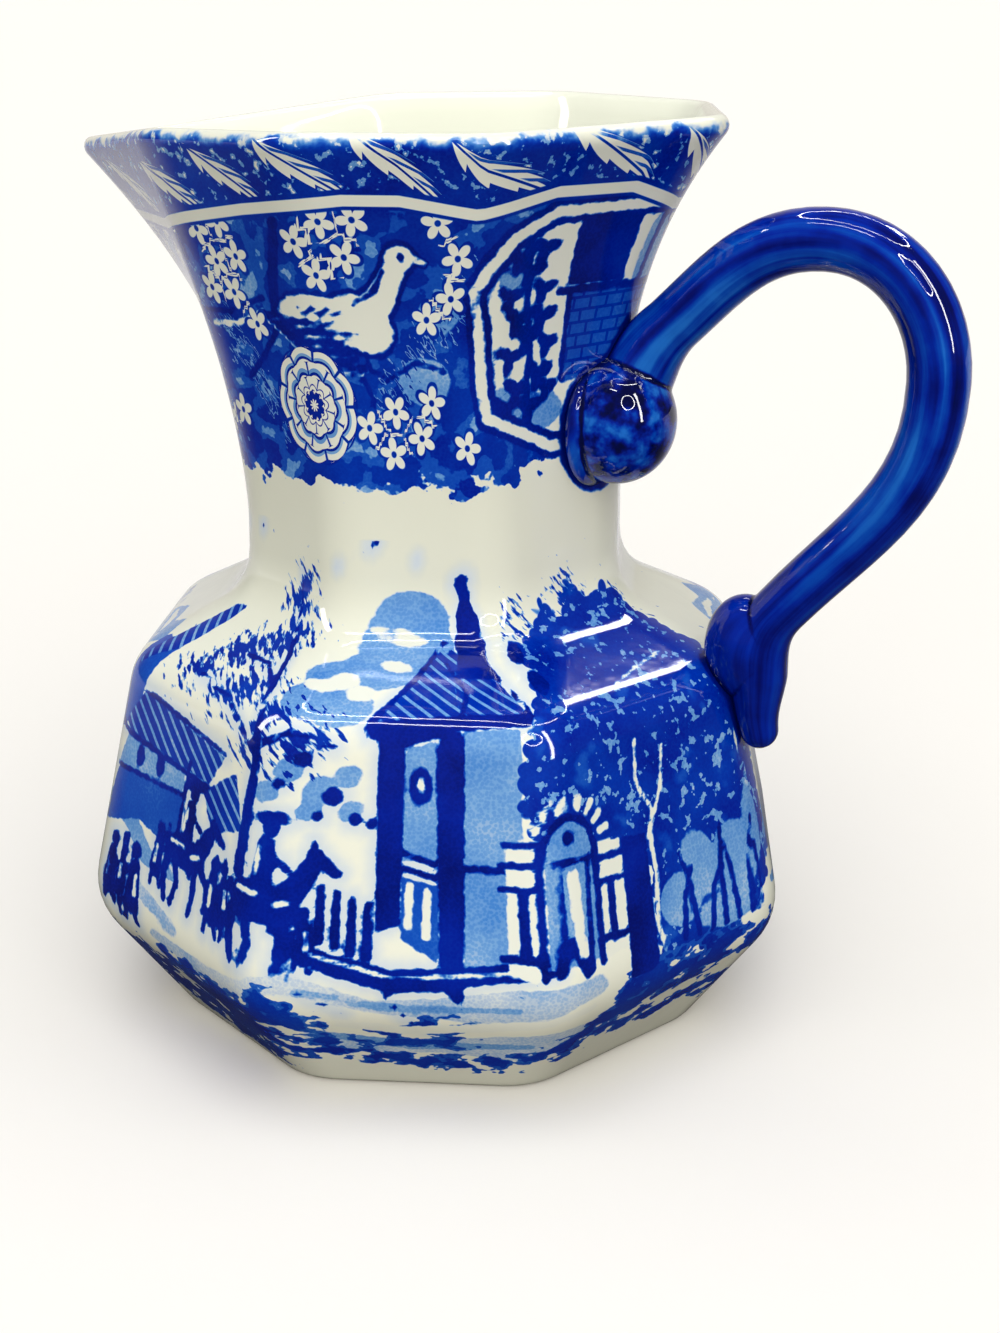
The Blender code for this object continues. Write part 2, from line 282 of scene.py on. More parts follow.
def areaDepth(x, y, points):
    gap = -strokeDepth(x, y, np.concatenate([points, points[:1]]), [0, 0])
    inside = np.zeros(len(x), bool)
    for (ax, ay), (bx, by) in zip(points, np.roll(points, -1, axis=0)):
        inside ^= ((ay > y) != (by > y)) & (x < (bx - ax) * (y - ay) / (by - ay + 1e-12) + ax)
    return np.where(inside, gap, -gap)


def ovalDepth(x, y, centre, radii, turn):
    c, s = math.cos(math.radians(turn)), math.sin(math.radians(turn))
    dx, dy = x - centre[0], y - centre[1]
    return (1 - np.hypot((dx * c + dy * s) / radii[0], (dy * c - dx * s) / radii[1])) * min(radii)


def nearOnStrip(strip, low, high, spare=5.0):
    # Numbers of the points in a box of the strip, and where they lie on it.
    width = stripWidths[strip]
    length, middle = width * 4, (low[0] + high[0]) / 2
    x = (place[:, 0] % 4) * width
    x = (x - middle + length / 2) % length - length / 2 + middle
    zone = (place[:, 1] >= neckFrom) if strip == "neck" else (place[:, 1] < neckFrom)
    near = np.flatnonzero(zone & (abs(x - middle) < (high[0] - low[0]) / 2 + spare)
                          & (place[:, 1] > low[1] - spare) & (place[:, 1] < high[1] + spare))
    return near, x[near], place[near, 1]


def draw(strip, shapes, at=(0, 0), scale=1.0, flip=False):
    # Each shape starts with its layer. A stroke goes on with a list of points and its widths, an area with a
    # list of points alone, and an oval with one point, its two radii and its turn in degrees.
    for layer, points, *sizes in shapes:
        isOval = np.ndim(points) == 1
        points = np.atleast_2d(np.array(points, float)) * [-scale if flip else scale, scale] + at
        sizes = [np.array(sizes[0], float) * scale] + sizes[1:] if sizes else []
        margin = np.max(sizes[0]) if sizes else 0
        near, x, y = nearOnStrip(strip, points.min(0) - margin, points.max(0) + margin)
        if isOval:
            turn = sizes[1] if len(sizes) > 1 else 0
            depth = ovalDepth(x, y, points[0], sizes[0], -turn if flip else turn)
        elif sizes:
            depth = strokeDepth(x, y, points, sizes[0])
        else:
            depth = areaDepth(x, y, points)
        layers[layer][near] = np.maximum(layers[layer][near], depth)


def aroundAt(centre, radii, degrees):
    turn = math.radians(degrees)
    return centre[0] + radii[0] * math.cos(turn), centre[1] + radii[1] * math.sin(turn)


rider = [
    ("ink", (0, 12), (7.4, 3.6), -4), ("ink", [(4.5, 13), (8, 17.5), (9.5, 20.5)], (5.0, 2.8)),
    ("ink", [(9, 20.6), (13, 17.8)], (3.0, 1.8)), ("ink", [(9.2, 21), (8.9, 23.2)], (1.4, 0.9)),
    ("ink", [(-5.2, 11), (-6.6, 6), (-5.4, 0.4)], (3.0, 1.6)),
    ("ink", [(-3, 10), (-1.6, 5), (-3.2, 0)], (2.4, 1.5)),
    ("ink", [(4, 10), (4.4, 5), (3.4, 0)], (2.4, 1.5)),
    ("ink", [(5.5, 11), (9.4, 7.4), (8.4, 2.6)], (2.4, 1.5)),
    ("ink", [(-7, 13.5), (-9.6, 10), (-9, 4.5)], (1.9, 1.2)), ("ink", [(0, 15), (0.6, 22)], (4.6, 3.2)),
    ("ink", (1.2, 24.8), (1.7, 1.8)), ("ink", (1.2, 26.4), (3.8, 1.2), 4),
    ("ink", [(0.6, 15), (3.2, 11.5), (2.6, 7.8)], (2.6, 1.6)),
    ("ink", [(0.8, 21), (4.8, 18.0)], (1.7, 1.3)), ("cut", [(-1.5, 16.6), (-0.6, 21)], (1.2, 1.1)),
    ("cut", [(-5, 13.4), (-0.6, 13.2)], (1.0, 1.2)), ("cut", [(2.4, 12), (5.2, 12.6)], (1.0, 1.0)),
]
walker = [
    ("ink", [(0, 4), (0, 10.4)], (4.8, 2.8)), ("ink", (0.3, 13), (1.5, 1.7)),
    ("ink", [(-0.9, 4), (-1.5, 0)], (1.8, 1.3)), ("ink", [(0.9, 4), (2.2, 0)], (1.8, 1.3)),
    ("ink", [(0.4, 10), (3.4, 7.6)], (1.6, 1.2)), ("ink", [(3.8, 0), (3.4, 15)], (1.1, 1.1)),
    ("cut", [(-0.7, 5.2), (-0.5, 8.8)], (1.1, 1.0)),
]
bush = [("turf", (0, 3), (8, 4)), ("turf", (-6, 2), (5, 3)), ("turf", (6, 2.4), (6, 3)),
        ("turf", (2, 6), (4.5, 3))]
post = [("ink", [(0, 0), (0, 11)], (2.3, 1.7))]

# Sky, trees and cottage on the left.
draw("body", [
    ("ink", [(113, 62), (114, 74), (115.5, 85), (114, 95), (109, 111), (101, 121), (97, 130)],
        (3.6, 2.2, 1.2)),
    ("ink", [(115, 87), (101, 95), (86, 97.5)], (1.8, 1.2)),
    ("ink", [(116, 89), (124, 93), (134, 90)], (1.8, 1.1)),
    ("ink", [(112, 102), (104, 107), (94, 107)], (1.6, 1.1)),
    ("wash", [(61, 69), (65, 79), (90, 79), (89, 68)]),
    ("middle", [(58, 55), (62, 69.5), (90, 71), (90, 57), (74, 60)]),
    ("tiles", [(62, 80), (69, 88.5), (104, 83), (99, 75.5), (66, 78)]),
    ("tiles", [(97, 74), (109, 81), (113, 70), (102, 66)]),
    ("ink", [(60, 79), (66, 77.6), (99, 75)], (1.4, 1.4)), ("ink", [(68, 89), (104, 83.6)], (1.4, 1.2)),
    ("ink", [(61, 69.5), (90, 70.5)], (1.2, 1.2)), ("ink", (71, 74), (1.7, 2.6)),
    ("ink", (79.5, 74), (1.7, 2.6)), ("ink", [(89, 57), (91, 78)], (1.6, 1.4)),
    ("tiles", [(60, 92), (66, 118), (73, 119), (70, 101)]),
    ("middle", [(56, 76), (59, 103), (70, 101), (67, 82)]),
    ("wash", [(60, 61), (70, 60), (79, 53), (90, 52)], (4, 6, 2)),
    ("pale", [(64, 44), (74, 46), (92, 41)], (3, 4, 3)),
    ("pale", [(84, 36.5), (104, 35), (122, 38)], (3, 5, 3)),
    ("wash", [(130, 25), (150, 21), (176, 22)], (3, 4, 2)),
    ("wash", [(128, 38.6), (150, 35.4), (172, 36)], (2, 2.6, 1.4)),
])
# Clouds and the pale gaps in them, tree tops, and loose leaves in two strengths.
ovals = (
    ("wash", 0, (147, 124, 14, 5.5), (140, 119, 10, 5), (153, 117, 9, 7), (128, 108, 9, 4.5), (139, 110, 12, 6),
     (124, 101, 7, 5), (133, 99, 8, 5)),
    ("cut", -8, (137, 120, 6, 1.6), (146, 119, 7, 2.2), (125, 105, 5, 1.8), (131, 106.5, 4.5, 2.4),
     (136.5, 103, 4, 2.2), (144, 111, 5, 1.6)),
    ("spray", 28, (99, 126, 9, 6), (103, 115, 11, 7), (91, 108, 10, 7), (83, 99, 8, 5), (103, 99, 12, 6),
     (118, 96, 8, 5), (126, 90, 9, 5), (112, 88, 6, 5)),
    ("wash", 20, (124, 85, 3.6, 2.52), (131, 81, 4.2, 2.94), (137, 84, 3.2, 2.24), (129, 77, 3.0, 2.1),
     (138, 77, 3.0, 2.1), (119, 80, 3.4, 2.38)),
    ("ink", 10, (127, 87.5, 2.2, 1.76), (134, 80, 2.4, 1.92), (139, 75.4, 1.6, 1.28), (142.6, 74.6, 1.5, 1.2),
     (122, 82, 1.6, 1.28), (131, 75.8, 1.4, 1.12)),
)
for layer, turn, *spots in ovals:
    draw("body", [(layer, (x, y), (wide, tall), turn) for x, y, wide, tall in spots])

# Riders and walkers.
for figure, x, y, size, flip in (
        (rider, 93, 46, 1.05, False), (rider, 119.5, 42, 1.24, False), (walker, 66, 38, 1.15, False),
        (walker, 75.5, 36, 1.3, True), (walker, 83, 48, 1.0, False), (walker, 104.5, 45, 1.15, False),
        (walker, 129.5, 43, 0.95, True), (walker, 70.5, 40, 0.9, False), (walker, 108.5, 47, 1.0, True)):
    draw("body", figure, at=(x, y), scale=size, flip=flip)

# Watch tower with its roof, fence and ground.
draw("body", [
    ("tiles", [(141, 95), (158, 117), (160, 112), (162, 97), (158, 96)]),
    ("tiles", [(159, 117), (170, 113), (178, 98), (162, 97)]),
    ("ink", [(140.5, 94.5), (158, 118)], (1.8, 1.4)),
    ("ink", [(158, 118), (170, 114), (179, 98)], (1.6, 1.4)),
    ("ink", [(161.5, 96), (164, 104), (159, 112)], (1.4, 1.2)),
    ("ink", [(140.5, 92), (141.5, 95.5), (158, 97.4), (179, 98.6), (179, 95.6), (162, 94), (150, 90.5)]),
    ("ink", [(143.4, 92), (149.4, 90.6), (148.6, 54), (143.6, 52)]),
    ("ink", [(156, 92), (162.4, 94), (161, 36), (156.4, 41)]),
    ("wash", [(149, 90), (156.4, 92), (156.4, 67), (149, 67)]),
    ("wash", [(162, 94), (175, 95), (172.6, 45), (161, 44)]), ("ink", (152.7, 82.5), (2.5, 4.0)),
    ("cut", (152.7, 82.8), (0.9, 1.5)), ("ink", [(148, 69), (156, 66.5)], (1.5, 1.5)),
    ("ink", [(148, 66), (156, 63.6)], (1.3, 1.3)), ("ink", [(160, 66), (173, 65.6)], (1.6, 1.6)),
    ("middle", [(148.6, 64), (156.4, 62), (156.4, 46), (148.6, 51)]),
    ("cut", [(150.4, 62), (150.2, 53.5)], (1.8, 1.8)), ("cut", [(154, 61), (153.8, 51.6)], (1.8, 1.8)),
    ("ink", [(162, 108), (162.6, 117), (161, 119), (173, 119), (171.6, 117), (172, 108)]),
    ("ink", (167.2, 122.6), (4.4, 4.6)), ("ink", [(167.2, 126), (166.8, 131)], (4.6, 2.6)),
    ("ink", (166.6, 131.6), (3.0, 1.7), 15),
    ("ink", [(124, 52.5), (134, 47.5), (147, 44.5), (156.5, 45), (166, 46), (180, 47.6), (180, 43.6),
        (166, 42), (156, 40), (147, 39.4), (135, 42.5), (124, 48)]),
    ("cut", [(131, 47), (147, 42.6), (166, 44), (179, 45.6)], (0.9, 0.9)),
    ("pale", [(126, 43), (143, 37.5), (156, 38.5), (171, 41), (190, 41.5), (192, 37), (184, 36),
        (171, 30), (156, 33), (143, 34), (130, 37), (116, 40)]),
    ("pale", [(128, 27), (137, 22.5), (150, 23), (168, 26.5), (186, 28.5), (192, 25), (176, 15),
        (156, 18), (145, 17), (126, 20)]),
    ("cut", [(136, 30), (150, 28), (170, 31), (188, 34)], (3.0, 4.2, 2.0)),
    ("ink", [(146, 38), (151, 31), (156, 27)], (1.0, 1.0)), ("ink", [(126, 40), (137, 34)], (0.9, 0.9)),
])
for step in range(4):
    draw("body", post, at=(132.5 + 3.2 * step, 50.0 - 1.1 * step))

# Gateway, balusters and the great dark tree.
draw("body", [
    ("dense", [(180, 118), (183, 110), (180, 101), (176, 94), (173, 82), (176, 70), (180, 60), (192, 66),
        (205, 62), (205, 37), (214, 37), (229, 39), (240, 46), (244, 60), (244, 104), (240, 116),
        (238, 124), (230, 126), (221, 124), (214, 129), (206, 122), (198, 126), (190, 119)]),
    ("spray", (186, 123), (5, 4), 30), ("spray", (213, 124), (9, 6), -20), ("spray", (234, 112), (6, 12)),
    ("ink", (181, 115), (2.6, 3.6)), ("ink", (184, 106), (2.4, 4.0), 20), ("shade", (213, 50), (6, 6)),
    ("shade", (220, 56), (5, 8), 20), ("shade", (230, 54), (7, 9)), ("shade", (237, 60), (3, 9)),
    ("shade", (226, 44), (9, 4)),
    ("shade", [(178, 68), (180, 73), (184, 75.6), (188, 73), (190, 68), (190, 45), (178, 45)]),
    ("cut", [(170, 70.5), (176.6, 70.5), (176.6, 42), (170, 44)]),
    ("cut", [(190, 69), (197.6, 68), (197.6, 45), (190, 44)]),
    ("line", [(169, 67), (177, 66.6)], (1.5, 1.5)), ("line", [(169, 62), (177, 61.6)], (1.3, 1.3)),
    ("line", [(169, 47.6), (177, 47)], (1.6, 1.6)), ("line", [(190, 65.4), (198, 65)], (1.5, 1.5)),
    ("line", [(190, 60.6), (198, 60)], (1.3, 1.3)), ("line", [(190, 48.6), (198, 48)], (1.6, 1.6)),
    ("line", [(173.4, 61), (173.4, 48)], (2.2, 2.2)), ("line", [(177, 70), (177, 43)], (1.8, 1.8)),
    ("line", [(194, 60), (194, 48)], (2.0, 2.0)), ("line", [(190.4, 69), (190.4, 44)], (1.8, 1.8)),
    ("line", [(170, 71), (177, 71)], (1.4, 1.4)), ("line", (183.8, 71.6), (1.5, 1.7)),
    ("line", [(179, 67), (189, 66.4)], (1.3, 1.3)),
    ("line", [(181, 66), (181.2, 52), (180.4, 44)], (1.3, 2.6)),
    ("line", [(188, 66), (187.4, 44)], (1.2, 1.6)),
    ("bright", [(184.2, 63.6), (184.6, 55), (185.6, 47)], (3.0, 2.4)),
    ("line", [(183, 50), (186.6, 43)], (2.4, 3.0)),
    ("line", [(197.6, 37), (198, 68), (205, 67), (205.4, 37)]),
    ("cut", [(206.6, 66), (207, 56), (206, 47), (207.4, 40)], (1.2, 1.4, 0.9)),
    ("cut", [(205, 87), (204, 78), (208, 71), (206, 66)], (0.9, 1.3)),
    ("cut", [(213, 84), (211, 75), (208, 70)], (0.8, 1.1)),
    ("cut", [(206, 100), (217, 103), (228, 105)], (0.7, 0.7)),
    ("cut", [(236, 82), (238, 72), (237, 64)], (1.0, 1.6)),
])
archAt = (184, 68)
keystones = [[aroundAt(archAt, radii, turn) for radii in ((8.6, 9.6), (10.8, 11.8))]
             for turn in range(0, 181, 18)]
draw("body", [("cut", keystone, (1.7, 1.7)) for keystone in keystones])
draw("body", [("line", [aroundAt(archAt, (6.4, 7.8), turn) for turn in range(0, 181, 15)], (1.6, 1.6))])
for x, lean, tall in ((213, 4, 15), (217, -3, 19), (221, 5, 14), (225, 2, 22), (229, -2, 18), (233, 4, 21),
                      (236, 1, 15)):
    draw("body", [("line", [(x, 41), (x + lean * 0.3, 41 + tall * 0.6), (x + lean, 41 + tall)], (1.8, 1.0))])

# Lake shore on the facets beside the spout and the handle.
draw("body", [
    ("wash", [(-4, 52), (6, 63), (17, 60), (30, 69), (42, 63), (56, 66), (58, 52), (28, 49)]),
    ("middle", [(-2, 52), (8, 57), (20, 54), (36, 60), (50, 56), (58, 58), (58, 51), (28, 49.5)]),
    ("ink", [(15, 46), (16, 62), (14, 76), (18, 88)], (3.4, 1.6)),
    ("ink", [(15, 74), (7, 84)], (1.8, 1.1)), ("ink", [(15.6, 70), (26, 80)], (1.8, 1.1)),
    ("spray", (8, 86), (9, 6), 20), ("spray", (20, 91), (11, 7), -15), ("spray", (28, 82), (9, 6)),
    ("dense", (15, 84), (8, 6)), ("dense", (25, 87), (6, 4.5)),
    ("wash", [(2, 45), (20, 43), (56, 45)], (2, 4, 2)),
    ("wash", [(8, 37), (30, 36), (52, 38)], (2, 3.4, 2)),
    ("ink", [(33, 44), (48, 44), (52, 48.4), (29, 48)]), ("ink", [(41, 48), (41, 66)], (1.5, 1.1)),
    ("cut", [(42, 51), (42, 65), (51, 52)]), ("line", [(42, 51), (51.5, 51.6), (42, 65.5)], (1.1, 1.1)),
    ("wash", [(28, 98), (36, 104), (47, 102), (54, 107), (60, 100), (52, 95), (38, 94)]),
    ("cut", [(33, 99), (42, 100), (52, 98)], (1.6, 2.4, 1.4)),
    ("wash", [(0, 22), (18, 28), (44, 26), (64, 30), (62, 20), (30, 16), (4, 15)]),
])

# Foreground bushes and turf, down to the bare foot, and flecks of stray ink above the shoulder.
for x, y, size in ((104, 22, 1.2), (118, 27, 1.1), (92, 27, 0.9), (110, 17, 1.0), (147, 20.5, 0.45),
                   (156, 21.5, 0.4), (10, 25, 0.9), (30, 21, 0.8), (54, 25, 0.9), (72, 22, 0.8),
                   (206, 32, 0.9), (222, 34, 0.8), (236, 30, 0.8)):
    draw("body", bush, at=(x, y), scale=size)
for x in range(0, 240, 12):
    y = 15.2 + 2.2 * math.sin(x * 0.11) + (5.0 if 184 < x < 236 else -5.0 if 60 <= x < 116 else 0.0)
    draw("body", [("turf", (x, y), (8.5, 2.1), 6 * math.sin(x))])
draw("body", [("turf", (x, y), (wide, tall), turn) for x, y, wide, tall, turn in (
    (84, 17, 20, 4, 0), (70, 26, 12, 3, -8), (102, 12, 14, 3, 0), (154, 29, 9, 2.4, 8), (131, 22, 7, 2.2, -6),
    (200, 28, 17, 4.5, 24), (188, 21, 12, 3.4, 20), (219, 30, 14, 3, 12))])
draw("body", [("ink", (x, y), (size * 1.4, size), 20) for x, y, size in (
    (132, 139, 0.9), (134.5, 140, 0.7), (72, 138, 0.6), (118, 134, 0.5), (150, 136, 0.45), (12, 135, 0.8),
    (58, 137, 0.5))])

# Neck: flowers and leaves on a blue ground, a bird, a bloom and a window with a garden behind it.
bird = [
    ("line", (37.4, 19.6), (0.9, 0.9)), ("line", [(33.0, 17.0), (30.6, 12.4), (25, 9.6)], (1.0, 1.5, 0.9)),
    ("line", [(27, -1.0), (28, -4.4), (31, -5.4)], (1.3, 1.1)),
    ("line", [(22, -1.4), (22.4, -5.2), (25, -6.4)], (1.3, 1.1)),
]
for row in range(4):                          # breast feathers
    for step in range(3 - row % 2):
        x, y = 12.5 + 4.2 * step + 1.6 * row, 8.2 - 2.3 * row
        bird += [("line", [(x - 3.2, y + 0.5), (x - 1.0, y - 0.9), (x + 1.2, y - 0.4)], (0.7, 1.1, 0.6))]
for layer, spare in (("ink", 1.3), ("cut", 0)):
    bird += [
        (layer, (17, 6), (13 + spare, 5.2 + spare), -6), (layer, (27, 5.4), (8 + spare, 5.6 + spare), -30),
        (layer, [(27, 7), (32, 10.5), (34.4, 15), (36.6, 19)], (8.0 + spare * 2, 4.4 + spare * 2)),
        (layer, (37, 19.4), (3.3 + spare, 2.8 + spare)),
        (layer, [(39, 19.8), (43.0, 18.2)], (2.2 + spare, 0.8 + spare)),
    ]
for feather in range(6):                      # tail feathers, a dark one and a pale one below it
    drop = feather * 1.9
    for layer, lower, tip, widths in (("line", 0, 17, (1.2, 1.5)), ("cut", 1, 16, (1.0, 1.3))):
        bird += [(layer, [(lower - 3 + feather * 1.6, 6.4 - lower - drop * 0.5),
                          (8 + feather * 1.5, 5.4 - lower - drop),
                          (tip + feather * 1.9, 4.6 - lower - drop * 0.9)], widths)]
draw("neck", bird, at=(64, 180.5))
window = [
    (134, 208.5), (126, 203.5), (118.5, 193), (120, 184), (121.6, 166), (139, 158), (160, 158), (172, 166),
    (172, 196), (166, 207), (158, 208.5)]
draw("neck", [
    ("cut", window), ("line", window + window[:1], (5.6, 5.6)),
    ("bright", window + window[:1], (2.4, 2.4)),
    ("shade", [(156, 206), (171, 203), (171, 178), (156, 176)]), ("shade", (128, 169), (6, 3.6)),
    ("shade", (136, 166), (6, 4)), ("shade", (126.5, 196), (3, 5)),
    ("bricks", [(140, 191), (163, 190), (163, 173), (141.6, 171)]),
    ("line", [(139.4, 206), (153, 206), (153.6, 191.6), (139.8, 192)]),
    ("line", [(138, 191), (164, 190.4)], (1.8, 1.8)), ("line", [(158.6, 206), (158.6, 192)], (1.5, 1.5)),
    ("line", [(141, 190), (141.6, 172)], (1.5, 1.5)),
    ("line", [(129.4, 204), (130.6, 190), (132.6, 178), (132, 164)], (1.8, 1.8)),
])
for x, y, size in ((129.6, 204, 2.0), (132.8, 200.6, 2.2), (127.6, 199, 2.2), (130.4, 196, 2.4),
                   (126.4, 191, 2.2), (134, 192, 2.0), (128.6, 186, 2.4), (134.6, 186, 2.4),
                   (131.4, 182, 2.6), (136.6, 180, 2.0), (127.4, 178, 2.2), (135, 174, 2.6),
                   (129.4, 171, 2.4), (137.4, 170.6, 2.0), (126.6, 167.6, 1.8), (132.6, 167, 2.4)):
    for turn in (20, 140, 260):               # three-lobed leaves
        middle = aroundAt((x, y), (size * 0.7, size * 0.7), turn)
        draw("neck", [("line", middle, (size * 0.95, size * 0.62), turn)])
for low, high, side in ((97, 116, 1), (46, 60, -1), (4, 22, 1), (24, 38, -1)):
    for step in range(5):                     # leaf sprays
        x, y = low + (high - low) * step / 4, 171 + 5 * step if side > 0 else 186 - 5 * step
        draw("neck", [("spray", (x, y), (5.4, 2.4), 40 * side)])
draw("neck", [
    ("ink", [(72.5, 207), (70, 200), (67.6, 193), (66.4, 187)], (3.0, 3.4)),
    ("middle", [(62, 207), (63, 196), (64, 187)], (2.0, 2.4)),
    ("ink", [(52, 172), (60, 178), (66, 184)], (1.4, 2.0)),
    ("ink", [(40, 186), (50, 186), (63, 190)], (1.4, 1.4)),
    ("cut", [(42, 183), (52, 183.6), (62, 187)], (1.3, 1.3)),
    ("ink", [(88, 178), (92, 170), (90, 162)], (1.2, 1.6)),
    ("ink", [(96, 174), (104, 178), (112, 176)], (1.0, 1.4)), ("wash", (110, 188), (5, 4)),
    ("wash", (106, 174), (7, 5)),
])
blossomSpots = [
    (77, 203), (84, 207.5), (91.5, 208), (110, 207.5), (81, 196), (88.5, 200), (114.5, 200), (113, 191.5),
    (107, 187), (90, 164), (97.5, 167.5), (104, 162), (96, 158.5), (107.5, 169.5), (47, 204), (54.5, 206),
    (50.5, 197), (57.5, 198.5), (46, 191), (53.5, 190.5), (59, 184), (5, 204), (13, 206), (9, 197), (17, 198),
    (25, 204), (31, 197), (36, 206), (22, 190), (12, 188), (34, 187), (8, 164), (16, 162), (30, 165),
    (37, 161), (46, 164), (116, 160), (149, 154)]
blossomSize = 3.8
bloomSpots, bloomSize = [(74.5, 168), (22, 174)], 13.0


def stampOn(spots, reach):
    # Offset from the nearest spot, so that the glaze can draw one flower there at any fineness, and the depth
    # inside the spot's round, which keeps neighbours apart.
    offset, depth = np.full((len(place), 3), 50.0), np.full(len(place), -deepest)
    for number, (x, y) in enumerate(spots):
        near, px, py = nearOnStrip("neck", (x - reach, y - reach), (x + reach, y + reach))
        inside = reach - np.hypot(px - x, py - y)
        chosen = inside > depth[near]
        turned = np.full(chosen.sum(), number * 0.7)     # each flower stands at its own angle
        offset[near[chosen]] = np.stack([px[chosen] - x, py[chosen] - y, turned], 1)
        depth[near[chosen]] = inside[chosen]
    return offset, depth


def addPrint():
    # Writes all layers on the vessel's points. The neck's ground ends in a torn edge, and the frieze starts
    # at a line that dips and rises with the rim.
    blossomOffset, layers["blossomRound"] = stampOn(blossomSpots, blossomSize + 0.8)
    bloomOffset, layers["bloomRound"] = stampOn(bloomSpots, bloomSize)
    along, onNeck = (place[:, 0] % 4) * stripWidths["neck"], place[:, 1] > neckFrom
    tornLine = np.interp(along, np.linspace(0, 160, 17), [
        152, 149, 153, 150, 152, 151, 149.5, 151, 152, 151, 153, 151, 151.5, 153, 156, 152, 152])
    friezeLine = np.interp(along, [0, 20, 32, 64, 90, 102, 119, 133, 148, 160],
                           [209, 207, 206, 210.7, 213.6, 213.6, 210.6, 214.4, 214, 209])
    layers["ground"] = np.where(onNeck, place[:, 1] - tornLine, -deepest)
    for name, values in layers.items():
        storeValues(pitcher, name, np.clip(values, -deepest, deepest))
    storeValues(pitcher, "frieze", np.where(onNeck, place[:, 1] - friezeLine, -30))
    storeValues(pitcher, "fromLip", np.clip(place[:, 1], -10, 240))
    storeValues(pitcher, "blossomOffset", blossomOffset)
    storeValues(pitcher, "bloomOffset", bloomOffset)


def addStripMap():
    # The flat strip as a UV map: facets round, and tenths of a metre up.
    mesh = pitcher.data
    corner = np.zeros(len(mesh.loops), int)
    mesh.loops.foreach_get("vertex_index", corner)
    starts, counts = np.zeros(len(mesh.polygons), int), np.zeros(len(mesh.polygons), int)
    mesh.polygons.foreach_get("loop_start", starts)
    mesh.polygons.foreach_get("loop_total", counts)
    flat = place[corner].copy()
    widest = np.maximum.reduceat(flat[:, 0], starts)
    wraps = np.repeat(widest > 7, counts) & (flat[:, 0] < 1)
    flat[wraps, 0] += 8
    flat[:, 1] /= 100
    mesh.uv_layers.new(name="strip").data.foreach_set("uv", flat.astype(np.float32).ravel())


addPrint()
addStripMap()
print("print:", len(layers), "layers")

handleSizes = {
    "radius": 6.3, "lowRadius": 5.8, "rootRadius": 9.0, "rootHeight": 143.0, "rootRise": 19.0,
    "rootSlope": 56.0, "archSlope": 43.8, "heelSlope": 50.7,
    "crownOut": 42.5, "crownHeight": 178.0, "gripOut": 66.3, "gripHeight": 151.8,
    "heelOut": 9.0, "heelAbove": 15.0, "tailLength": 12.5, "tailRadius": 4.2, "padRadius": 8.5,
    "knobHeight": 138.5, "knobRadius": 12.7, "knobStand": 0.5, "knobAside": 3.5, "collarRadius": 13.8,
    "pull": 0.40,                             # how far the curve follows a knot's direction, of the gap
    "sides": 40, "step": 1.1, "voxel": 0.5,
}


def neckReachAt(height):
    # Reach of the neck's outside in the handle's plane.
    size, corner = vessel, corners[0]
    narrow = waistReach(corner)
    share = max(height - size["waistHeight"], 0) / (size["rimHeight"] - size["waistHeight"])
    return narrow + (corner["reach"] - narrow) * share ** corner["late"]


def slopeOf(degrees):
    return np.array((math.cos(math.radians(degrees)), math.sin(math.radians(degrees))))


def handleKnots():
    # Point, direction and radius along the handle, from inside the neck's wall to the tail.
    size, body = handleSizes, vessel
    root = np.array((neckReachAt(size["rootHeight"]), size["rootHeight"]))
    fall = (body["bellyReach"] - body["shoulderReach"]) / (body["shoulderHeight"] - body["bellyHeight"])
    shoulder, level = body["shoulderReach"], body["shoulderHeight"]
    tail = shoulder + fall * size["tailLength"] + size["tailRadius"] * 0.7
    rising, landing = slopeOf(size["rootSlope"]), -slopeOf(size["heelSlope"])
    arch = root + rising * size["rootRise"]
    knots = [
        (root, rising, size["rootRadius"]),
        (arch, slopeOf(size["archSlope"]), size["radius"]),
        ((body["neckReach"] + size["crownOut"], size["crownHeight"]), (1, 0), size["radius"]),
        ((body["neckReach"] + size["gripOut"], size["gripHeight"]), (0, -1), size["radius"]),
        ((shoulder + size["heelOut"], level + size["heelAbove"]), landing, size["lowRadius"]),
        ((shoulder + size["radius"] * 0.8, level), (0, -1), size["radius"]),
        ((tail, level - size["tailLength"]), (fall, -1), size["tailRadius"]),
    ]
    return [(np.array(point, float), unit(np.array(along, float)), radius) for point, along, radius in knots]


def addNode(tree, kind, inputs=None, **settings):
    # Adds a node with its settings. An input is a value, or the socket that it is linked to. It goes by name
    # or by number, as in a mix of colours, where 6 and 7 are A and B.
    made = tree.nodes.new(kind)
    for name, value in settings.items():
        setattr(made, name, value)
    for name, value in (inputs or {}).items():
        if isinstance(value, bpy.types.NodeSocket):
            tree.links.new(value, made.inputs[name])
        else:
            made.inputs[name].default_value = value
    return made


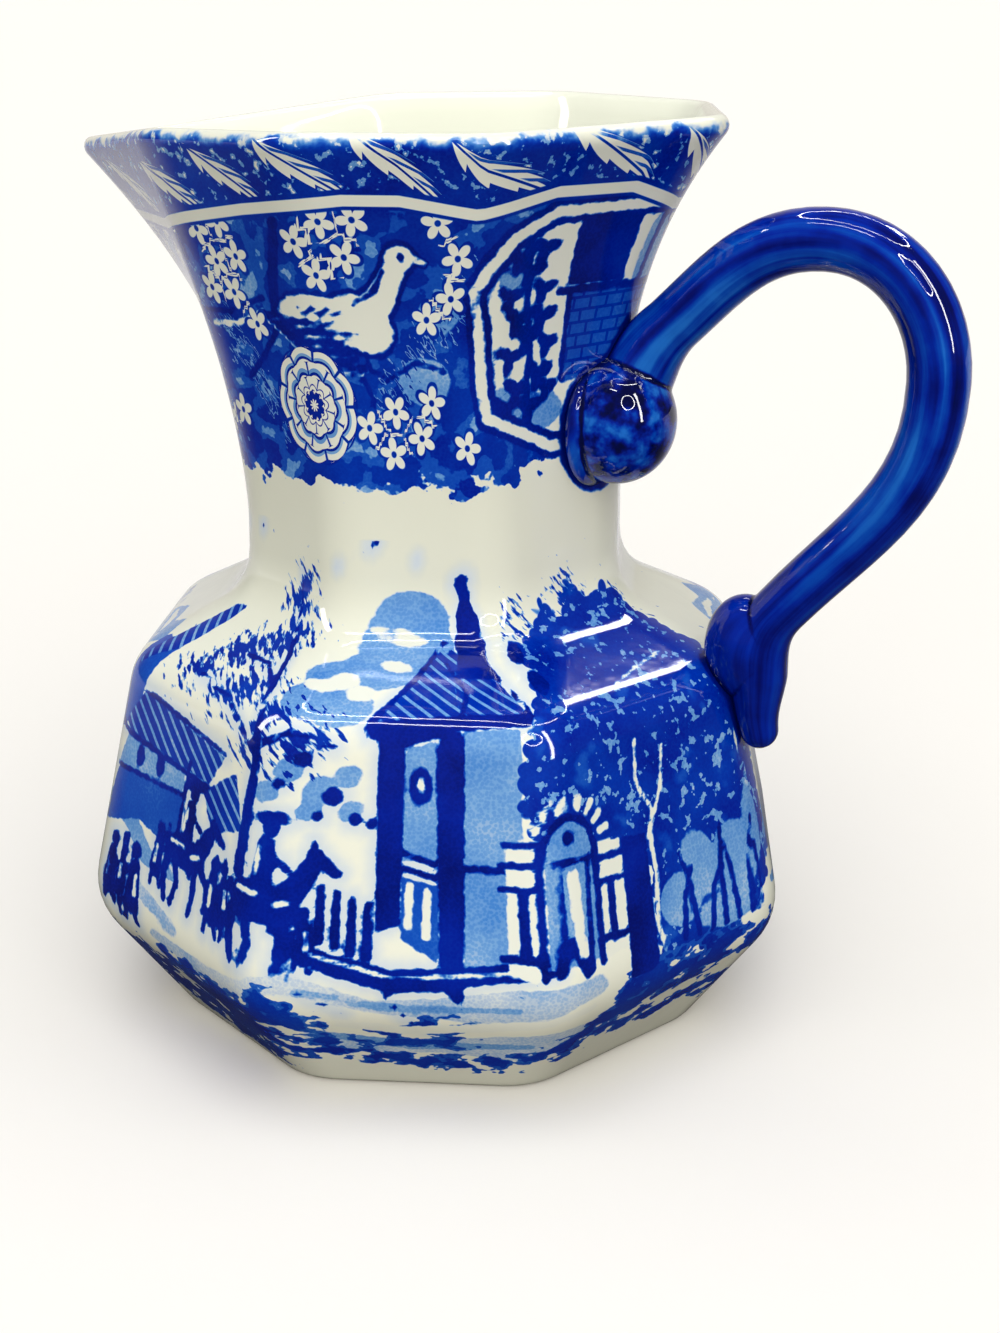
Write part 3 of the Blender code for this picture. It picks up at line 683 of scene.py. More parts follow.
def handleTree():
    # Sweeps a round section along the curve and adds the knob, its collar, the heel's pad and the tail's tip.
    tree = bpy.data.node_groups.new("pulledHandle", "GeometryNodeTree")
    balls = ("Knob", "Collar", "Pad", "Tip")
    wanted = [("Geometry", "Geometry"), ("Step", "Float"), ("Sides", "Int")]
    wanted += [(ball + part, "Vector") for ball in balls for part in (" Centre", " Radii")]
    for name, kind in wanted + [("Material", "Material")]:
        tree.interface.new_socket(name, in_out="INPUT", socket_type="NodeSocket" + kind)
    tree.interface.new_socket("Geometry", in_out="OUTPUT", socket_type="NodeSocketGeometry")
    start = addNode(tree, "NodeGroupInput").outputs
    resampled = addNode(tree, "GeometryNodeResampleCurve", {
        "Curve": start["Geometry"], "Length": start["Step"]}, mode="LENGTH")
    section = addNode(tree, "GeometryNodeCurvePrimitiveCircle", {"Resolution": start["Sides"], "Radius": 1.0})
    thick = addNode(tree, "GeometryNodeInputRadius")
    swept = addNode(tree, "GeometryNodeCurveToMesh", {
        "Curve": resampled.outputs[0], "Scale": thick.outputs[0], "Profile Curve": section.outputs[0],
        "Fill Caps": True})
    joined = addNode(tree, "GeometryNodeJoinGeometry")
    tree.links.new(swept.outputs[0], joined.inputs[0])
    for name in balls:
        ball = addNode(tree, "GeometryNodeMeshUVSphere", {"Segments": 48, "Rings": 32, "Radius": 1.0})
        placed = addNode(tree, "GeometryNodeTransform", {
            "Geometry": ball.outputs[0], "Translation": start[name + " Centre"],
            "Scale": start[name + " Radii"]})
        tree.links.new(placed.outputs[0], joined.inputs[0])
    real = addNode(tree, "GeometryNodeRealizeInstances", {0: joined.outputs[0]})
    dressed = addNode(tree, "GeometryNodeSetMaterial", {
        "Geometry": real.outputs[0], "Material": start["Material"]})
    addNode(tree, "NodeGroupOutput", {0: dressed.outputs[0]})
    return tree


def takeMesh(source):
    bpy.context.view_layer.update()
    return bpy.data.meshes.new_from_object(source.evaluated_get(bpy.context.evaluated_depsgraph_get()))


def makeGuide():
    # The handle's middle line, as a curve in metres.
    knots, axis, pull = handleKnots(), vessel["axisX"], handleSizes["pull"]
    data = bpy.data.curves.new("handleLine", "CURVE")
    data.dimensions = "3D"
    line = data.splines.new("BEZIER")
    line.bezier_points.add(len(knots) - 1)
    for index, (knot, (point, along, radius)) in enumerate(zip(line.bezier_points, knots)):
        back = np.linalg.norm(point - knots[max(index - 1, 0)][0]) * pull
        ahead = np.linalg.norm(knots[min(index + 1, len(knots) - 1)][0] - point) * pull
        knot.handle_left_type = knot.handle_right_type = "FREE"
        for name, where in (("co", point), ("handle_left", point - along * back),
                            ("handle_right", point + along * ahead)):
            setattr(knot, name, ((where[0] + axis) / 1000, 0, where[1] / 1000))
        knot.radius = radius / 1000
    guide = bpy.data.objects.new("handleLine", data)
    bpy.context.scene.collection.objects.link(guide)
    return guide


def makeCore():
    # The vessel up to the middle of its wall, which the handle's hidden ends are trimmed with. It starts above
    # the foot's rounding and takes every fourth row.
    footRows, step = 6, 4
    lines = [sunkLine(outsideLine(corner), vessel["wall"] / 2)[footRows:-1:step] for corner in corners]
    rings = [ringOf(lines, row, half=True) for row in range(len(lines[0]))]
    points = np.concatenate(rings + [[rings[0].mean(0)], [rings[-1].mean(0)]])
    points[:, 0] += vessel["axisX"]
    numbered = np.arange(len(points) - 2).reshape(len(rings), -1)
    faces = skinOver(numbered) + fanTo(len(points) - 2, numbered[0], under=True)
    return addMesh("core", points / 1000, faces + fanTo(len(points) - 1, numbered[-1]))


def makeHandle(material):
    size, body = handleSizes, vessel
    guide = makeGuide()
    reach, tipAt, tipRadius = neckReachAt(size["knobHeight"]), handleKnots()[-1][0], size["tailRadius"]
    knob, collar, pad = size["knobRadius"], size["collarRadius"], size["padRadius"]
    balls = {
        "Knob": ((reach + size["knobStand"], -size["knobAside"], size["knobHeight"]),
                 (knob, knob, knob * 1.06)),
        "Collar": ((reach - body["wall"] * 0.9, -size["knobAside"], size["knobHeight"] - knob * 0.08),
                   (body["wall"] * 0.9, collar, collar)),
        "Pad": ((body["shoulderReach"] + size["heelOut"] * 0.2, 0,
                 body["shoulderHeight"] + size["heelAbove"] * 0.38), (pad * 1.05, pad * 0.86, pad * 1.38)),
        "Tip": ((tipAt[0], 0, tipAt[1]), (tipRadius, tipRadius, tipRadius)),
    }
    values = {"Step": size["step"] / 1000, "Sides": size["sides"], "Material": material}
    for name, (centre, radii) in balls.items():
        values[name + " Centre"] = ((centre[0] + body["axisX"]) / 1000, centre[1] / 1000, centre[2] / 1000)
        values[name + " Radii"] = tuple(radius / 1000 for radius in radii)
    sweep = guide.modifiers.new("sweep", "NODES")
    sweep.node_group = handleTree()
    for item in sweep.node_group.interface.items_tree:
        if item.in_out == "INPUT" and item.name in values:
            sweep[item.identifier] = values[item.name]
    made = bpy.data.objects.new("pitcherHandle", takeMesh(guide))
    bpy.context.scene.collection.objects.link(made)
    bpy.data.objects.remove(guide)

    # One skin over all of it, with the clay's soft joins, then trimmed at the middle of the vessel's wall.
    skin = made.modifiers.new("skin", "REMESH")
    skin.mode, skin.voxel_size, skin.use_smooth_shade = "VOXEL", size["voxel"] / 1000, True
    soften = made.modifiers.new("soften", "SMOOTH")
    soften.factor, soften.iterations = 0.5, 5
    made.data = takeMesh(made)
    made.modifiers.clear()
    core = makeCore()
    trim = made.modifiers.new("trim", "BOOLEAN")
    trim.operation, trim.solver, trim.object = "DIFFERENCE", "EXACT", core
    made.data = takeMesh(made)
    made.modifiers.clear()
    bpy.data.objects.remove(core)
    made.data.polygons.foreach_set("use_smooth", [True] * len(made.data.polygons))
    made.data.materials.clear()
    made.data.materials.append(material)
    return made


def paint(hexCode):
    # sRGB hex to the linear values that a socket takes.
    parts = [int(hexCode[at:at + 2], 16) / 255 for at in (1, 3, 5)]
    linear = [part / 12.92 if part <= 0.04045 else ((part + 0.055) / 1.055) ** 2.4 for part in parts]
    return (*linear, 1.0)


def newMaterial(name):
    made = bpy.data.materials.new(name)
    made.use_nodes = True
    return made, made.node_tree, made.node_tree.nodes["Principled BSDF"]


def fillRamp(node, stops):
    elements = node.color_ramp.elements
    while len(elements) < len(stops):
        elements.new(0.5)
    for element, (position, colour) in zip(elements, stops):
        element.position, element.color = position, colour


def pastEdges(tree, *edges):
    # 1 where every value has passed its soft edge, which runs from low to high, and 0 where one hasn't.
    mask = None
    for value, low, high in edges:
        edge = addNode(tree, "ShaderNodeMapRange", {
            "Value": value, "From Min": low, "From Max": high}, interpolation_type="SMOOTHSTEP")
        passed = edge.outputs["Result"]
        if mask is not None:
            passed = addNode(tree, "ShaderNodeMath", {0: mask, 1: passed}, operation="MULTIPLY").outputs[0]
        mask = passed
    return mask


def layerMask(tree, name, wobble, soft=0.28, shift=0.0):
    # Where a layer's depth is positive, its edge wandering a little as a printed edge does.
    depth = addNode(tree, "ShaderNodeAttribute", attribute_name=name).outputs["Fac"]
    moved = addNode(tree, "ShaderNodeMath", {0: depth, 1: wobble}, operation="ADD").outputs[0]
    return pastEdges(tree, (moved, shift - soft, shift + soft))


def layCoats(tree, below, *coats):
    # Coats over one another. Each is a tone and its mask, or a tone and the (value, low, high) of a soft edge.
    for tone, mask in coats:
        if isinstance(mask, tuple):
            mask = pastEdges(tree, mask)
        below = addNode(tree, "ShaderNodeMix", {"Factor": mask, "A": below, "B": tone}).outputs["Result"]
    return below


def addGloss(tree, shader, roughness, relief, strength, depth):
    # A clear lead glaze, with the faint swells that it dries in. The depth is in metres.
    shader.inputs["Roughness"].default_value = roughness
    shader.inputs["IOR"].default_value = 1.52
    bump = addNode(tree, "ShaderNodeBump", {"Height": relief, "Strength": strength, "Distance": depth})
    tree.links.new(bump.outputs[0], shader.inputs["Normal"])


def cobaltGlaze():
    # Cobalt brushed on by hand under a clear lead glaze: wet gloss, paler streaks along the brush strokes,
    # darker towards the tail's end, and near black along the joins with the vessel and in the handle's creases.
    made, tree, shader = newMaterial("brushedCobaltUnderGlaze")
    where = addNode(tree, "ShaderNodeTexCoord").outputs["Object"]
    # The brush is in mm along and round the handle, the join gap in mm from the vessel or a crease.
    brush = addNode(tree, "ShaderNodeAttribute", attribute_name="brush").outputs["Vector"]
    joinGap = addNode(tree, "ShaderNodeAttribute", attribute_name="joinGap").outputs["Fac"]
    onKnob = addNode(tree, "ShaderNodeAttribute", attribute_name="onKnob").outputs["Fac"]
    # Streaks 83 mm long and 4 mm wide, washes of 9 mm and sponge dabs of 4 mm.
    drawn = addNode(tree, "ShaderNodeMapping", {"Vector": brush, "Scale": (0.012, 0.26, 1.0)})
    streaks = addNode(tree, "ShaderNodeTexNoise", {
        "Vector": drawn.outputs[0], "Scale": 1.0, "Detail": 4.0, "Distortion": 0.35}).outputs[0]
    washes, dabs = (
        addNode(tree, "ShaderNodeTexNoise", {"Vector": where, "Scale": scale, "Detail": detail}).outputs[0]
        for scale, detail in ((110.0, 4.0), (230.0, 3.0)))
    mixed = addNode(tree, "ShaderNodeMath", {0: washes, 1: 0.3, 2: streaks}, operation="MULTIPLY_ADD")
    run = addNode(tree, "ShaderNodeSeparateXYZ", {0: brush}).outputs["X"]
    darkerTowardsTail = addNode(tree, "ShaderNodeMapRange", {      # darker towards the tail's end
        "Value": run, "From Min": 110.0, "From Max": 180.0, "To Min": 1.0, "To Max": 0.55})
    onTube = addNode(tree, "ShaderNodeMath", {
        0: pastEdges(tree, (mixed.outputs[0], 0.36, 0.90)), 1: darkerTowardsTail.outputs["Result"]}, operation="MULTIPLY")
    brushed = layCoats(tree, onTube.outputs[0], (pastEdges(tree, (dabs, 0.36, 0.72)), onKnob))
    # Darker down to near black close to the vessel and in the handle's creases.
    shade = addNode(tree, "ShaderNodeMath", {
        0: brushed, 1: pastEdges(tree, (joinGap, 0.2, 3.2))}, operation="MULTIPLY")
    ramp = addNode(tree, "ShaderNodeValToRGB", {"Fac": shade.outputs[0]})
    fillRamp(ramp, [(0.0, paint("#00063E")), (0.18, paint("#000E70")), (0.45, paint("#0024A0")),
                    (0.75, paint("#0648B8")), (1.0, paint("#1E70D2"))])
    tree.links.new(ramp.outputs["Color"], shader.inputs["Base Color"])
    ridges = addNode(tree, "ShaderNodeMath", {0: streaks, 1: washes}, operation="ADD").outputs[0]
    addGloss(tree, shader, 0.03, ridges, 0.10, 0.0006)
    return made


def drift(tree, where, scale, detail, clip, reach):
    # An offset that wanders between -reach and reach over the piece; clip is the part of the noise left out.
    noise = addNode(tree, "ShaderNodeTexNoise", {"Vector": where, "Scale": scale, "Detail": detail})
    spread = addNode(tree, "ShaderNodeMapRange", {
        "Value": noise.outputs[0], "From Min": clip, "From Max": 1 - clip, "To Min": -reach, "To Max": reach})
    return spread.outputs["Result"]


def flowerAxes(tree, name):
    # Angle and distance from the nearest flower's middle, and that flower's own turn.
    offset = addNode(tree, "ShaderNodeAttribute", attribute_name=name).outputs["Vector"]
    part = addNode(tree, "ShaderNodeSeparateXYZ", {0: offset}).outputs
    angle = addNode(tree, "ShaderNodeMath", {0: part["Y"], 1: part["X"]}, operation="ARCTAN2").outputs[0]
    flat = addNode(tree, "ShaderNodeCombineXYZ", {"X": part["X"], "Y": part["Y"]}).outputs[0]
    away = addNode(tree, "ShaderNodeVectorMath", {0: flat}, operation="LENGTH").outputs["Value"]
    return angle, away, part["Z"]


def petalLobes(tree, angle, half, turn, operation):
    # Rises from 0 to 1 and back once for each petal; half is half their number.
    turned = addNode(tree, "ShaderNodeMath", {0: angle, 1: half, 2: turn}, operation="MULTIPLY_ADD").outputs[0]
    wave = addNode(tree, "ShaderNodeMath", {0: turned}, operation=operation).outputs[0]
    return addNode(tree, "ShaderNodeMath", {0: wave}, operation="ABSOLUTE").outputs[0]


def printedGlaze():
    # Glazed earthenware: a cream body, a cobalt print from an engraved copper plate, and a clear lead glaze
    # over both. The eye gets flat tones in five strengths, with soft and slightly flooded edges.
    made, tree, shader = newMaterial("transferPrintUnderGlaze")
    where = addNode(tree, "ShaderNodeTexCoord").outputs["Object"]
    strip = addNode(tree, "ShaderNodeUVMap", uv_map="strip").outputs["UV"]
    # A noise's scale is 1000 over its size in mm, named at the line's end.
    wobble = drift(tree, where, 520.0, 2.0, 0.25, 0.30)        # 1.9 mm, a printed edge
    uneven = drift(tree, where, 70.0, 3.0, 0.3, 0.07)          # 14 mm, uneven inking
    tornEdge = drift(tree, where, 210.0, 3.0, 0.3, 4.0)        # 5 mm, torn edges
    mottle, nicks, patchy, flecks, ripple = (
        addNode(tree, "ShaderNodeTexNoise", {"Vector": where, "Scale": scale, "Detail": detail}).outputs[0]
        for scale, detail in (
            (240.0, 3.0),                     # 4 mm, mottle on the neck's ground
            (620.0, 2.0),                     # 1.6 mm, nicks between leaves
            (130.0, 2.0),                     # 8 mm, paler patches in the great tree
            (420.0, 3.0),                     # 2.4 mm, flecks in the frieze
            (60.0, 3.5)))                     # 17 mm, swells in the glaze
    dots = addNode(tree, "ShaderNodeTexVoronoi", {       # 0.7 mm stipple
        "Vector": where, "Scale": 1500.0, "Randomness": 0.9}).outputs["Distance"]
    stipple = pastEdges(tree, (dots, 0.75, 0.35))

    def tone(strength, grain, spread=1.0):
        # One engraved strength, with its stipple and its uneven inking.
        grained = addNode(tree, "ShaderNodeMath", {0: stipple, 1: grain, 2: strength}, operation="MULTIPLY_ADD")
        return addNode(tree, "ShaderNodeMath", {
            0: uneven, 1: spread, 2: grained.outputs[0]}, operation="MULTIPLY_ADD").outputs[0]

    pale, light, middling = tone(0.16, 0.06), tone(0.30, 0.07), tone(0.62, 0.05)
    deep, inked, white = tone(0.84, 0.03, 1.1), tone(0.93, 0.02, 0.7), 0.02

    # Neck ground: mottled blue with darker leaf shapes in it.
    leaves = addNode(tree, "ShaderNodeTexVoronoi", {     # 5 mm
        "Vector": where, "Scale": 190.0, "Randomness": 1.0}, feature="SMOOTH_F1").outputs["Distance"]
    clump = addNode(tree, "ShaderNodeMath", {0: leaves, 1: mottle}, operation="ADD").outputs[0]
    groundTone = layCoats(tree, middling, (deep, (clump, 0.99, 0.93)), (light, (clump, 1.15, 1.20)))

    # Roofs: slanting courses of tiles, dark with lighter joints. Bricks: flat courses with pale joints.
    # The strip's map is in facets and tenths of a metre; 60 and 100 make mm of it on the body, 40 on the neck.
    slant = addNode(tree, "ShaderNodeMapping", {
        "Vector": strip, "Rotation": (0, 0, math.radians(-52)), "Scale": (60.0, 100.0, 1.0)})
    courses = addNode(tree, "ShaderNodeTexWave", {
        "Vector": slant.outputs[0], "Scale": 0.115, "Distortion": 0.6, "Detail": 1.0}).outputs["Fac"]
    tiled = layCoats(tree, light, (deep, (courses, 0.12, 0.28)))
    wall = addNode(tree, "ShaderNodeMapping", {"Vector": strip, "Scale": (40.0, 100.0, 1.0)})
    brick = addNode(tree, "ShaderNodeTexBrick", {
        "Vector": wall.outputs[0], "Scale": 1.0, "Mortar Size": 0.42, "Mortar Smooth": 0.4,
        "Brick Width": 4.2, "Row Height": 2.7})
    walled = layCoats(tree, middling, (deep, brick.outputs["Fac"]))

    # Loose foliage: short slanting strokes that thin out towards the edge of their area.
    brushed = addNode(tree, "ShaderNodeMapping", {
        "Vector": strip, "Rotation": (0, 0, math.radians(35)), "Scale": (60.0, 100.0, 1.0)})
    stretched = addNode(tree, "ShaderNodeMapping", {"Vector": brushed.outputs[0], "Scale": (0.62, 1.9, 1.0)})
    strokes = addNode(tree, "ShaderNodeTexNoise", {
        "Vector": stretched.outputs[0], "Scale": 0.35, "Detail": 2.0}).outputs[0]
    spray = addNode(tree, "ShaderNodeAttribute", attribute_name="spray").outputs["Fac"]
    thinned = addNode(tree, "ShaderNodeMath", {
        0: spray, 1: 0.035, 2: strokes}, operation="MULTIPLY_ADD").outputs[0]
    sprayTone = layCoats(tree, light, (deep, (thinned, 0.58, 0.61)))

    # Great tree: nearly solid, with small pale nicks between its 3 mm leaves and a lobed edge.
    leaf = addNode(tree, "ShaderNodeTexVoronoi", {
        "Vector": where, "Scale": 330.0, "Randomness": 1.0}).outputs["Distance"]
    nicked = addNode(tree, "ShaderNodeMath", {0: leaf, 1: 0.55, 2: nicks}, operation="MULTIPLY_ADD").outputs[0]
    treeTone = layCoats(tree, deep, (middling, (patchy, 0.58, 0.74)), (light, (nicked, 0.915, 0.965)))
    lobes = addNode(tree, "ShaderNodeMath", {0: leaf, 1: -4.2, 2: 1.7}, operation="MULTIPLY_ADD").outputs[0]

    # Turf and bushes: ragged level strokes in two strengths.
    level = addNode(tree, "ShaderNodeMapping", {"Vector": strip, "Scale": (60.0 * 0.7, 100.0 * 1.1, 1.0)})
    blades = addNode(tree, "ShaderNodeTexNoise", {
        "Vector": level.outputs[0], "Scale": 0.26, "Detail": 2.5}).outputs[0]
    turf = addNode(tree, "ShaderNodeAttribute", attribute_name="turf").outputs["Fac"]
    grown = addNode(tree, "ShaderNodeMath", {0: turf, 1: 0.07, 2: blades}, operation="MULTIPLY_ADD").outputs[0]
    turfTone = layCoats(tree, middling, (deep, (grown, 0.52, 0.56)))

    density = layCoats(
        tree, 0.0, (groundTone, layerMask(tree, "ground", tornEdge, 0.4)),
        (pale, layerMask(tree, "pale", wobble)), (light, layerMask(tree, "wash", wobble)),
        (middling, layerMask(tree, "middle", wobble)), (tiled, layerMask(tree, "tiles", wobble)),
        (sprayTone, (thinned, 0.54, 0.56)), (treeTone, layerMask(tree, "dense", lobes, 0.35)),
        (turfTone, (grown, 0.44, 0.47)), (inked, layerMask(tree, "ink", wobble)))
    # The glaze floods a little cobalt round the dark areas.
    flooded = addNode(tree, "ShaderNodeMath", {
        0: layerMask(tree, "ink", wobble, 2.4, -1.6), 1: 0.14}, operation="MULTIPLY")
    density = addNode(tree, "ShaderNodeMath", {
        0: density, 1: flooded.outputs[0]}, operation="MAXIMUM").outputs[0]
    density = layCoats(tree, density, *((coat, layerMask(tree, name, wobble)) for coat, name in (
        (white, "cut"), (light, "shade"), (walled, "bricks"), (inked, "line"), (white, "bright"))))

    # Blossoms: five round petals about the spot's centre, outlined, with a dark eye.
    angle, away, turn = flowerAxes(tree, "blossomOffset")
    lobe = petalLobes(tree, angle, 2.5, turn, "COSINE")
    petal = addNode(tree, "ShaderNodeMath", {
        0: lobe, 1: blossomSize * 0.62, 2: blossomSize * 0.36}, operation="MULTIPLY_ADD").outputs[0]
    inPetal = addNode(tree, "ShaderNodeMath", {0: petal, 1: away}, operation="SUBTRACT").outputs[0]
    kept = (addNode(tree, "ShaderNodeAttribute", attribute_name="blossomRound").outputs["Fac"], -0.2, 0.2)
    density = layCoats(
        tree, density, (deep, pastEdges(tree, (inPetal, -1.15, -0.75), kept)),
        (white, pastEdges(tree, (inPetal, -0.2, 0.2), kept)), (deep, pastEdges(tree, (away, 0.85, 0.55), kept)))

    # Bloom: rings 3.1 mm wide of nine scalloped petals round a dark heart.
    angle, away, turn = flowerAxes(tree, "bloomOffset")
    ringNumber = addNode(tree, "ShaderNodeMath", {0: away, 1: 3.1}, operation="DIVIDE").outputs[0]
    whole = addNode(tree, "ShaderNodeMath", {0: ringNumber}, operation="FLOOR").outputs[0]
    lobe = petalLobes(tree, angle, 4.5, whole, "SINE")
    scalloped = addNode(tree, "ShaderNodeMath", {
        0: lobe, 1: -1.0, 2: away}, operation="MULTIPLY_ADD").outputs[0]
    share = addNode(tree, "ShaderNodeMath", {0: scalloped, 1: 1 / 12.0}, operation="MULTIPLY").outputs[0]
    rings = addNode(tree, "ShaderNodeValToRGB", {"Fac": share})
    rings.color_ramp.interpolation = "CONSTANT"
    fillRamp(rings, [(position, (grey, grey, grey, 1)) for position, grey in (
        (0.0, 0.02), (0.03, 0.9), (0.20, 0.02), (0.27, 0.85), (0.30, 0.02), (0.47, 0.9), (0.53, 0.35),
        (0.60, 0.02), (0.74, 0.9), (0.79, 0.3), (0.84, 0.02), (0.95, 0.9))])
    between = pastEdges(tree, (lobe, 0.20, 0.08), (away, 3.4, 3.8))
    petals = layCoats(tree, rings.outputs["Color"], (0.88, between))
    kept = (addNode(tree, "ShaderNodeAttribute", attribute_name="bloomRound").outputs["Fac"], -0.2, 0.2)
    density = layCoats(tree, density, (petals, pastEdges(tree, (scalloped, 12.2, 11.8), kept)))

    # Frieze under the lip: slanting acanthus leaves 20 mm apart between dark clumps, over a white line.
    height = addNode(tree, "ShaderNodeAttribute", attribute_name="frieze").outputs["Fac"]
    up = addNode(tree, "ShaderNodeMath", {0: height, 1: 1 / 13.0}, operation="MULTIPLY").outputs[0]
    facets = addNode(tree, "ShaderNodeSeparateXYZ", {0: strip}).outputs["X"]
    lean = addNode(tree, "ShaderNodeMath", {0: up, 1: 0.85}, operation="MULTIPLY")
    spaced = addNode(tree, "ShaderNodeMath", {0: facets, 1: 2.0, 2: lean.outputs[0]}, operation="MULTIPLY_ADD")
    cell = addNode(tree, "ShaderNodeMath", {0: spaced.outputs[0]}, operation="FRACT")
    side = addNode(tree, "ShaderNodeMath", {0: cell.outputs[0], 1: 0.5}, operation="SUBTRACT").outputs[0]
    spread = addNode(tree, "ShaderNodeMath", {0: side}, operation="ABSOLUTE").outputs[0]
    teeth = addNode(tree, "ShaderNodeMath", {0: spread, 1: 1.1, 2: up}, operation="MULTIPLY_ADD")
    many = addNode(tree, "ShaderNodeMath", {0: teeth.outputs[0], 1: 3.6}, operation="MULTIPLY")
    saw = addNode(tree, "ShaderNodeMath", {0: many.outputs[0]}, operation="FRACT").outputs[0]
    swell = addNode(tree, "ShaderNodeMath", {0: up, 1: math.pi}, operation="MULTIPLY")
    belly = addNode(tree, "ShaderNodeMath", {0: swell.outputs[0]}, operation="SINE")
    wide = addNode(tree, "ShaderNodeMath", {0: belly.outputs[0], 1: 0.18, 2: 0.08}, operation="MULTIPLY_ADD")
    bitten = addNode(tree, "ShaderNodeMath", {0: saw, 1: -0.10, 2: wide.outputs[0]}, operation="MULTIPLY_ADD")
    inLeaf = addNode(tree, "ShaderNodeMath", {0: bitten.outputs[0], 1: spread}, operation="SUBTRACT").outputs[0]
    friezeTone = layCoats(
        tree, deep, (light, (flecks, 0.57, 0.61)), (0.03, (flecks, 0.66, 0.68)), (deep, (inLeaf, -0.05, -0.03)),
        (white, (inLeaf, -0.008, 0.008)), (deep, (spread, 0.026, 0.014)),
        (middling, pastEdges(tree, (side, 0.03, 0.06), (saw, 0.42, 0.34), (inLeaf, 0.0, 0.01))),
        (deep, (height, 1.1, 0.7)))
    lip = addNode(tree, "ShaderNodeAttribute", attribute_name="fromLip").outputs["Fac"]
    lipEdge = addNode(tree, "ShaderNodeMath", {
        0: tornEdge, 1: 0.35, 2: lip}, operation="MULTIPLY_ADD").outputs[0]

    # Cobalt from the handle and the knob pools on the vessel along their joins.
    joint = addNode(tree, "ShaderNodeAttribute", attribute_name="fromHandle").outputs["Fac"]
    seam = addNode(tree, "ShaderNodeMath", {
        0: tornEdge, 1: 0.12, 2: joint}, operation="MULTIPLY_ADD").outputs[0]
    density = layCoats(
        tree, density, (friezeTone, (height, -0.2, 0.2)),
        (deep, pastEdges(tree, (height, -3.7, -3.3), (height, 0.4, 0.0))),
        (white, pastEdges(tree, (height, -2.9, -2.6), (height, -0.1, -0.4))),
        (0.0, (lipEdge, 223.0, 226.0)), (0.97, (seam, 1.5, 0.7)))
    ramp = addNode(tree, "ShaderNodeValToRGB", {"Fac": density})
    fillRamp(ramp, [(position, paint(code)) for position, code in (
        (0.0, "#EEF3E7"), (0.13, "#D2E0EC"), (0.30, "#76A9E2"), (0.45, "#3F82D6"), (0.62, "#1454C4"),
        (0.80, "#0036B4"), (0.92, "#001E9C"), (1.0, "#000E6C"))])

    # Bare cream glaze is mixed towards a darker green inside and round the waist: partly the greener tint where
    # the glaze lies thick, partly painted shade inside the mouth and under the neck's flare.
    inward = pastEdges(tree, (lip, 231.0, 300.0))
    waist = pastEdges(tree, (lip, 104.0, 128.0), (lip, 165.0, 150.0))
    thickGlazeAndShade = addNode(tree, "ShaderNodeMath", {
        0: waist, 1: 0.12, 2: inward}, operation="MULTIPLY_ADD").outputs[0]
    bare = addNode(tree, "ShaderNodeMath", {
        0: thickGlazeAndShade, 1: pastEdges(tree, (density, 0.12, 0.02))}, operation="MULTIPLY").outputs[0]
    # The dark green mixed in here is partly the thick glaze's tint and partly painted shade.
    thick = addNode(tree, "ShaderNodeMix", {
        "Factor": bare, 6: ramp.outputs["Color"], 7: paint("#A9B092")}, data_type="RGBA")
    tree.links.new(thick.outputs[2], shader.inputs["Base Color"])
    addGloss(tree, shader, 0.06, ripple, 0.12, 0.0012)
    return made


def creaseDepth(mesh):
    # How far each point lies below the mean of those around it, in mm, taken over about two millimetres.
    count = len(mesh.vertices)
    edges = np.zeros(len(mesh.edges) * 2, int)
    mesh.edges.foreach_get("vertices", edges)
    points, edges = readVectors(mesh, "co") * 1000, edges.reshape(-1, 2)
    many = np.bincount(edges.ravel(), minlength=count)[:, None] + 1
    settled = points.copy()
    for turn in range(5):
        total = settled.copy()
        for a, b in ((0, 1), (1, 0)):
            for axis in range(3):
                total[:, axis] += np.bincount(edges[:, a], settled[edges[:, b], axis], minlength=count)
        settled = total / many
    return np.sum((settled - points) * readVectors(mesh, "normal"), axis=1)


def handleLine():
    # Many points along the handle's curve, the same one that the handle is swept along.
    line = []
    knots = handleKnots()
    for (start, out, _), (end, into, _) in zip(knots, knots[1:]):
        pull = np.linalg.norm(end - start) * handleSizes["pull"]
        for share in np.linspace(0, 1, 24, endpoint=False):
            rest = 1 - share
            line.append(start * rest ** 3 + (start + out * pull) * 3 * rest ** 2 * share
                        + (end - into * pull) * 3 * rest * share ** 2 + end * share ** 3)
    return np.array(line)


def brushHandle():
    # For the handle's glaze: how far along and round the brush went, in mm, and whether it is on the knob.
    size, line = handleSizes, handleLine()
    length = np.concatenate([[0], np.cumsum(np.linalg.norm(np.diff(line, axis=0), axis=1))])
    points = readVectors(handle.data, "co") * 1000 - [vessel["axisX"], 0, 0]
    gaps = np.hypot(points[:, None, 0] - line[None, :, 0], points[:, None, 2] - line[None, :, 1])
    nearest = np.argmin(gaps, axis=1)
    ahead = np.gradient(line, axis=0)[nearest]
    ahead /= np.linalg.norm(ahead, axis=1)[:, None]
    offset = points[:, [0, 2]] - line[nearest]
    along = length[nearest] + np.sum(offset * ahead, axis=1)
    outward = offset[:, 0] * -ahead[:, 1] + offset[:, 1] * ahead[:, 0]
    turn = np.arctan2(outward, np.abs(points[:, 1])) * size["radius"]
    otherSide = 7.0                           # so that the two sides' streaks differ
    storeValues(handle, "brush", np.stack([along, turn, np.where(points[:, 1] < 0, 0.0, otherSide)], 1))
    knobAt = (neckReachAt(size["knobHeight"]) + size["knobStand"], -size["knobAside"], size["knobHeight"])
    fromKnob = np.linalg.norm(points - knobAt, axis=1) - size["knobRadius"]
    storeValues(handle, "onKnob", np.clip(1.4 - fromKnob, 0, 1))


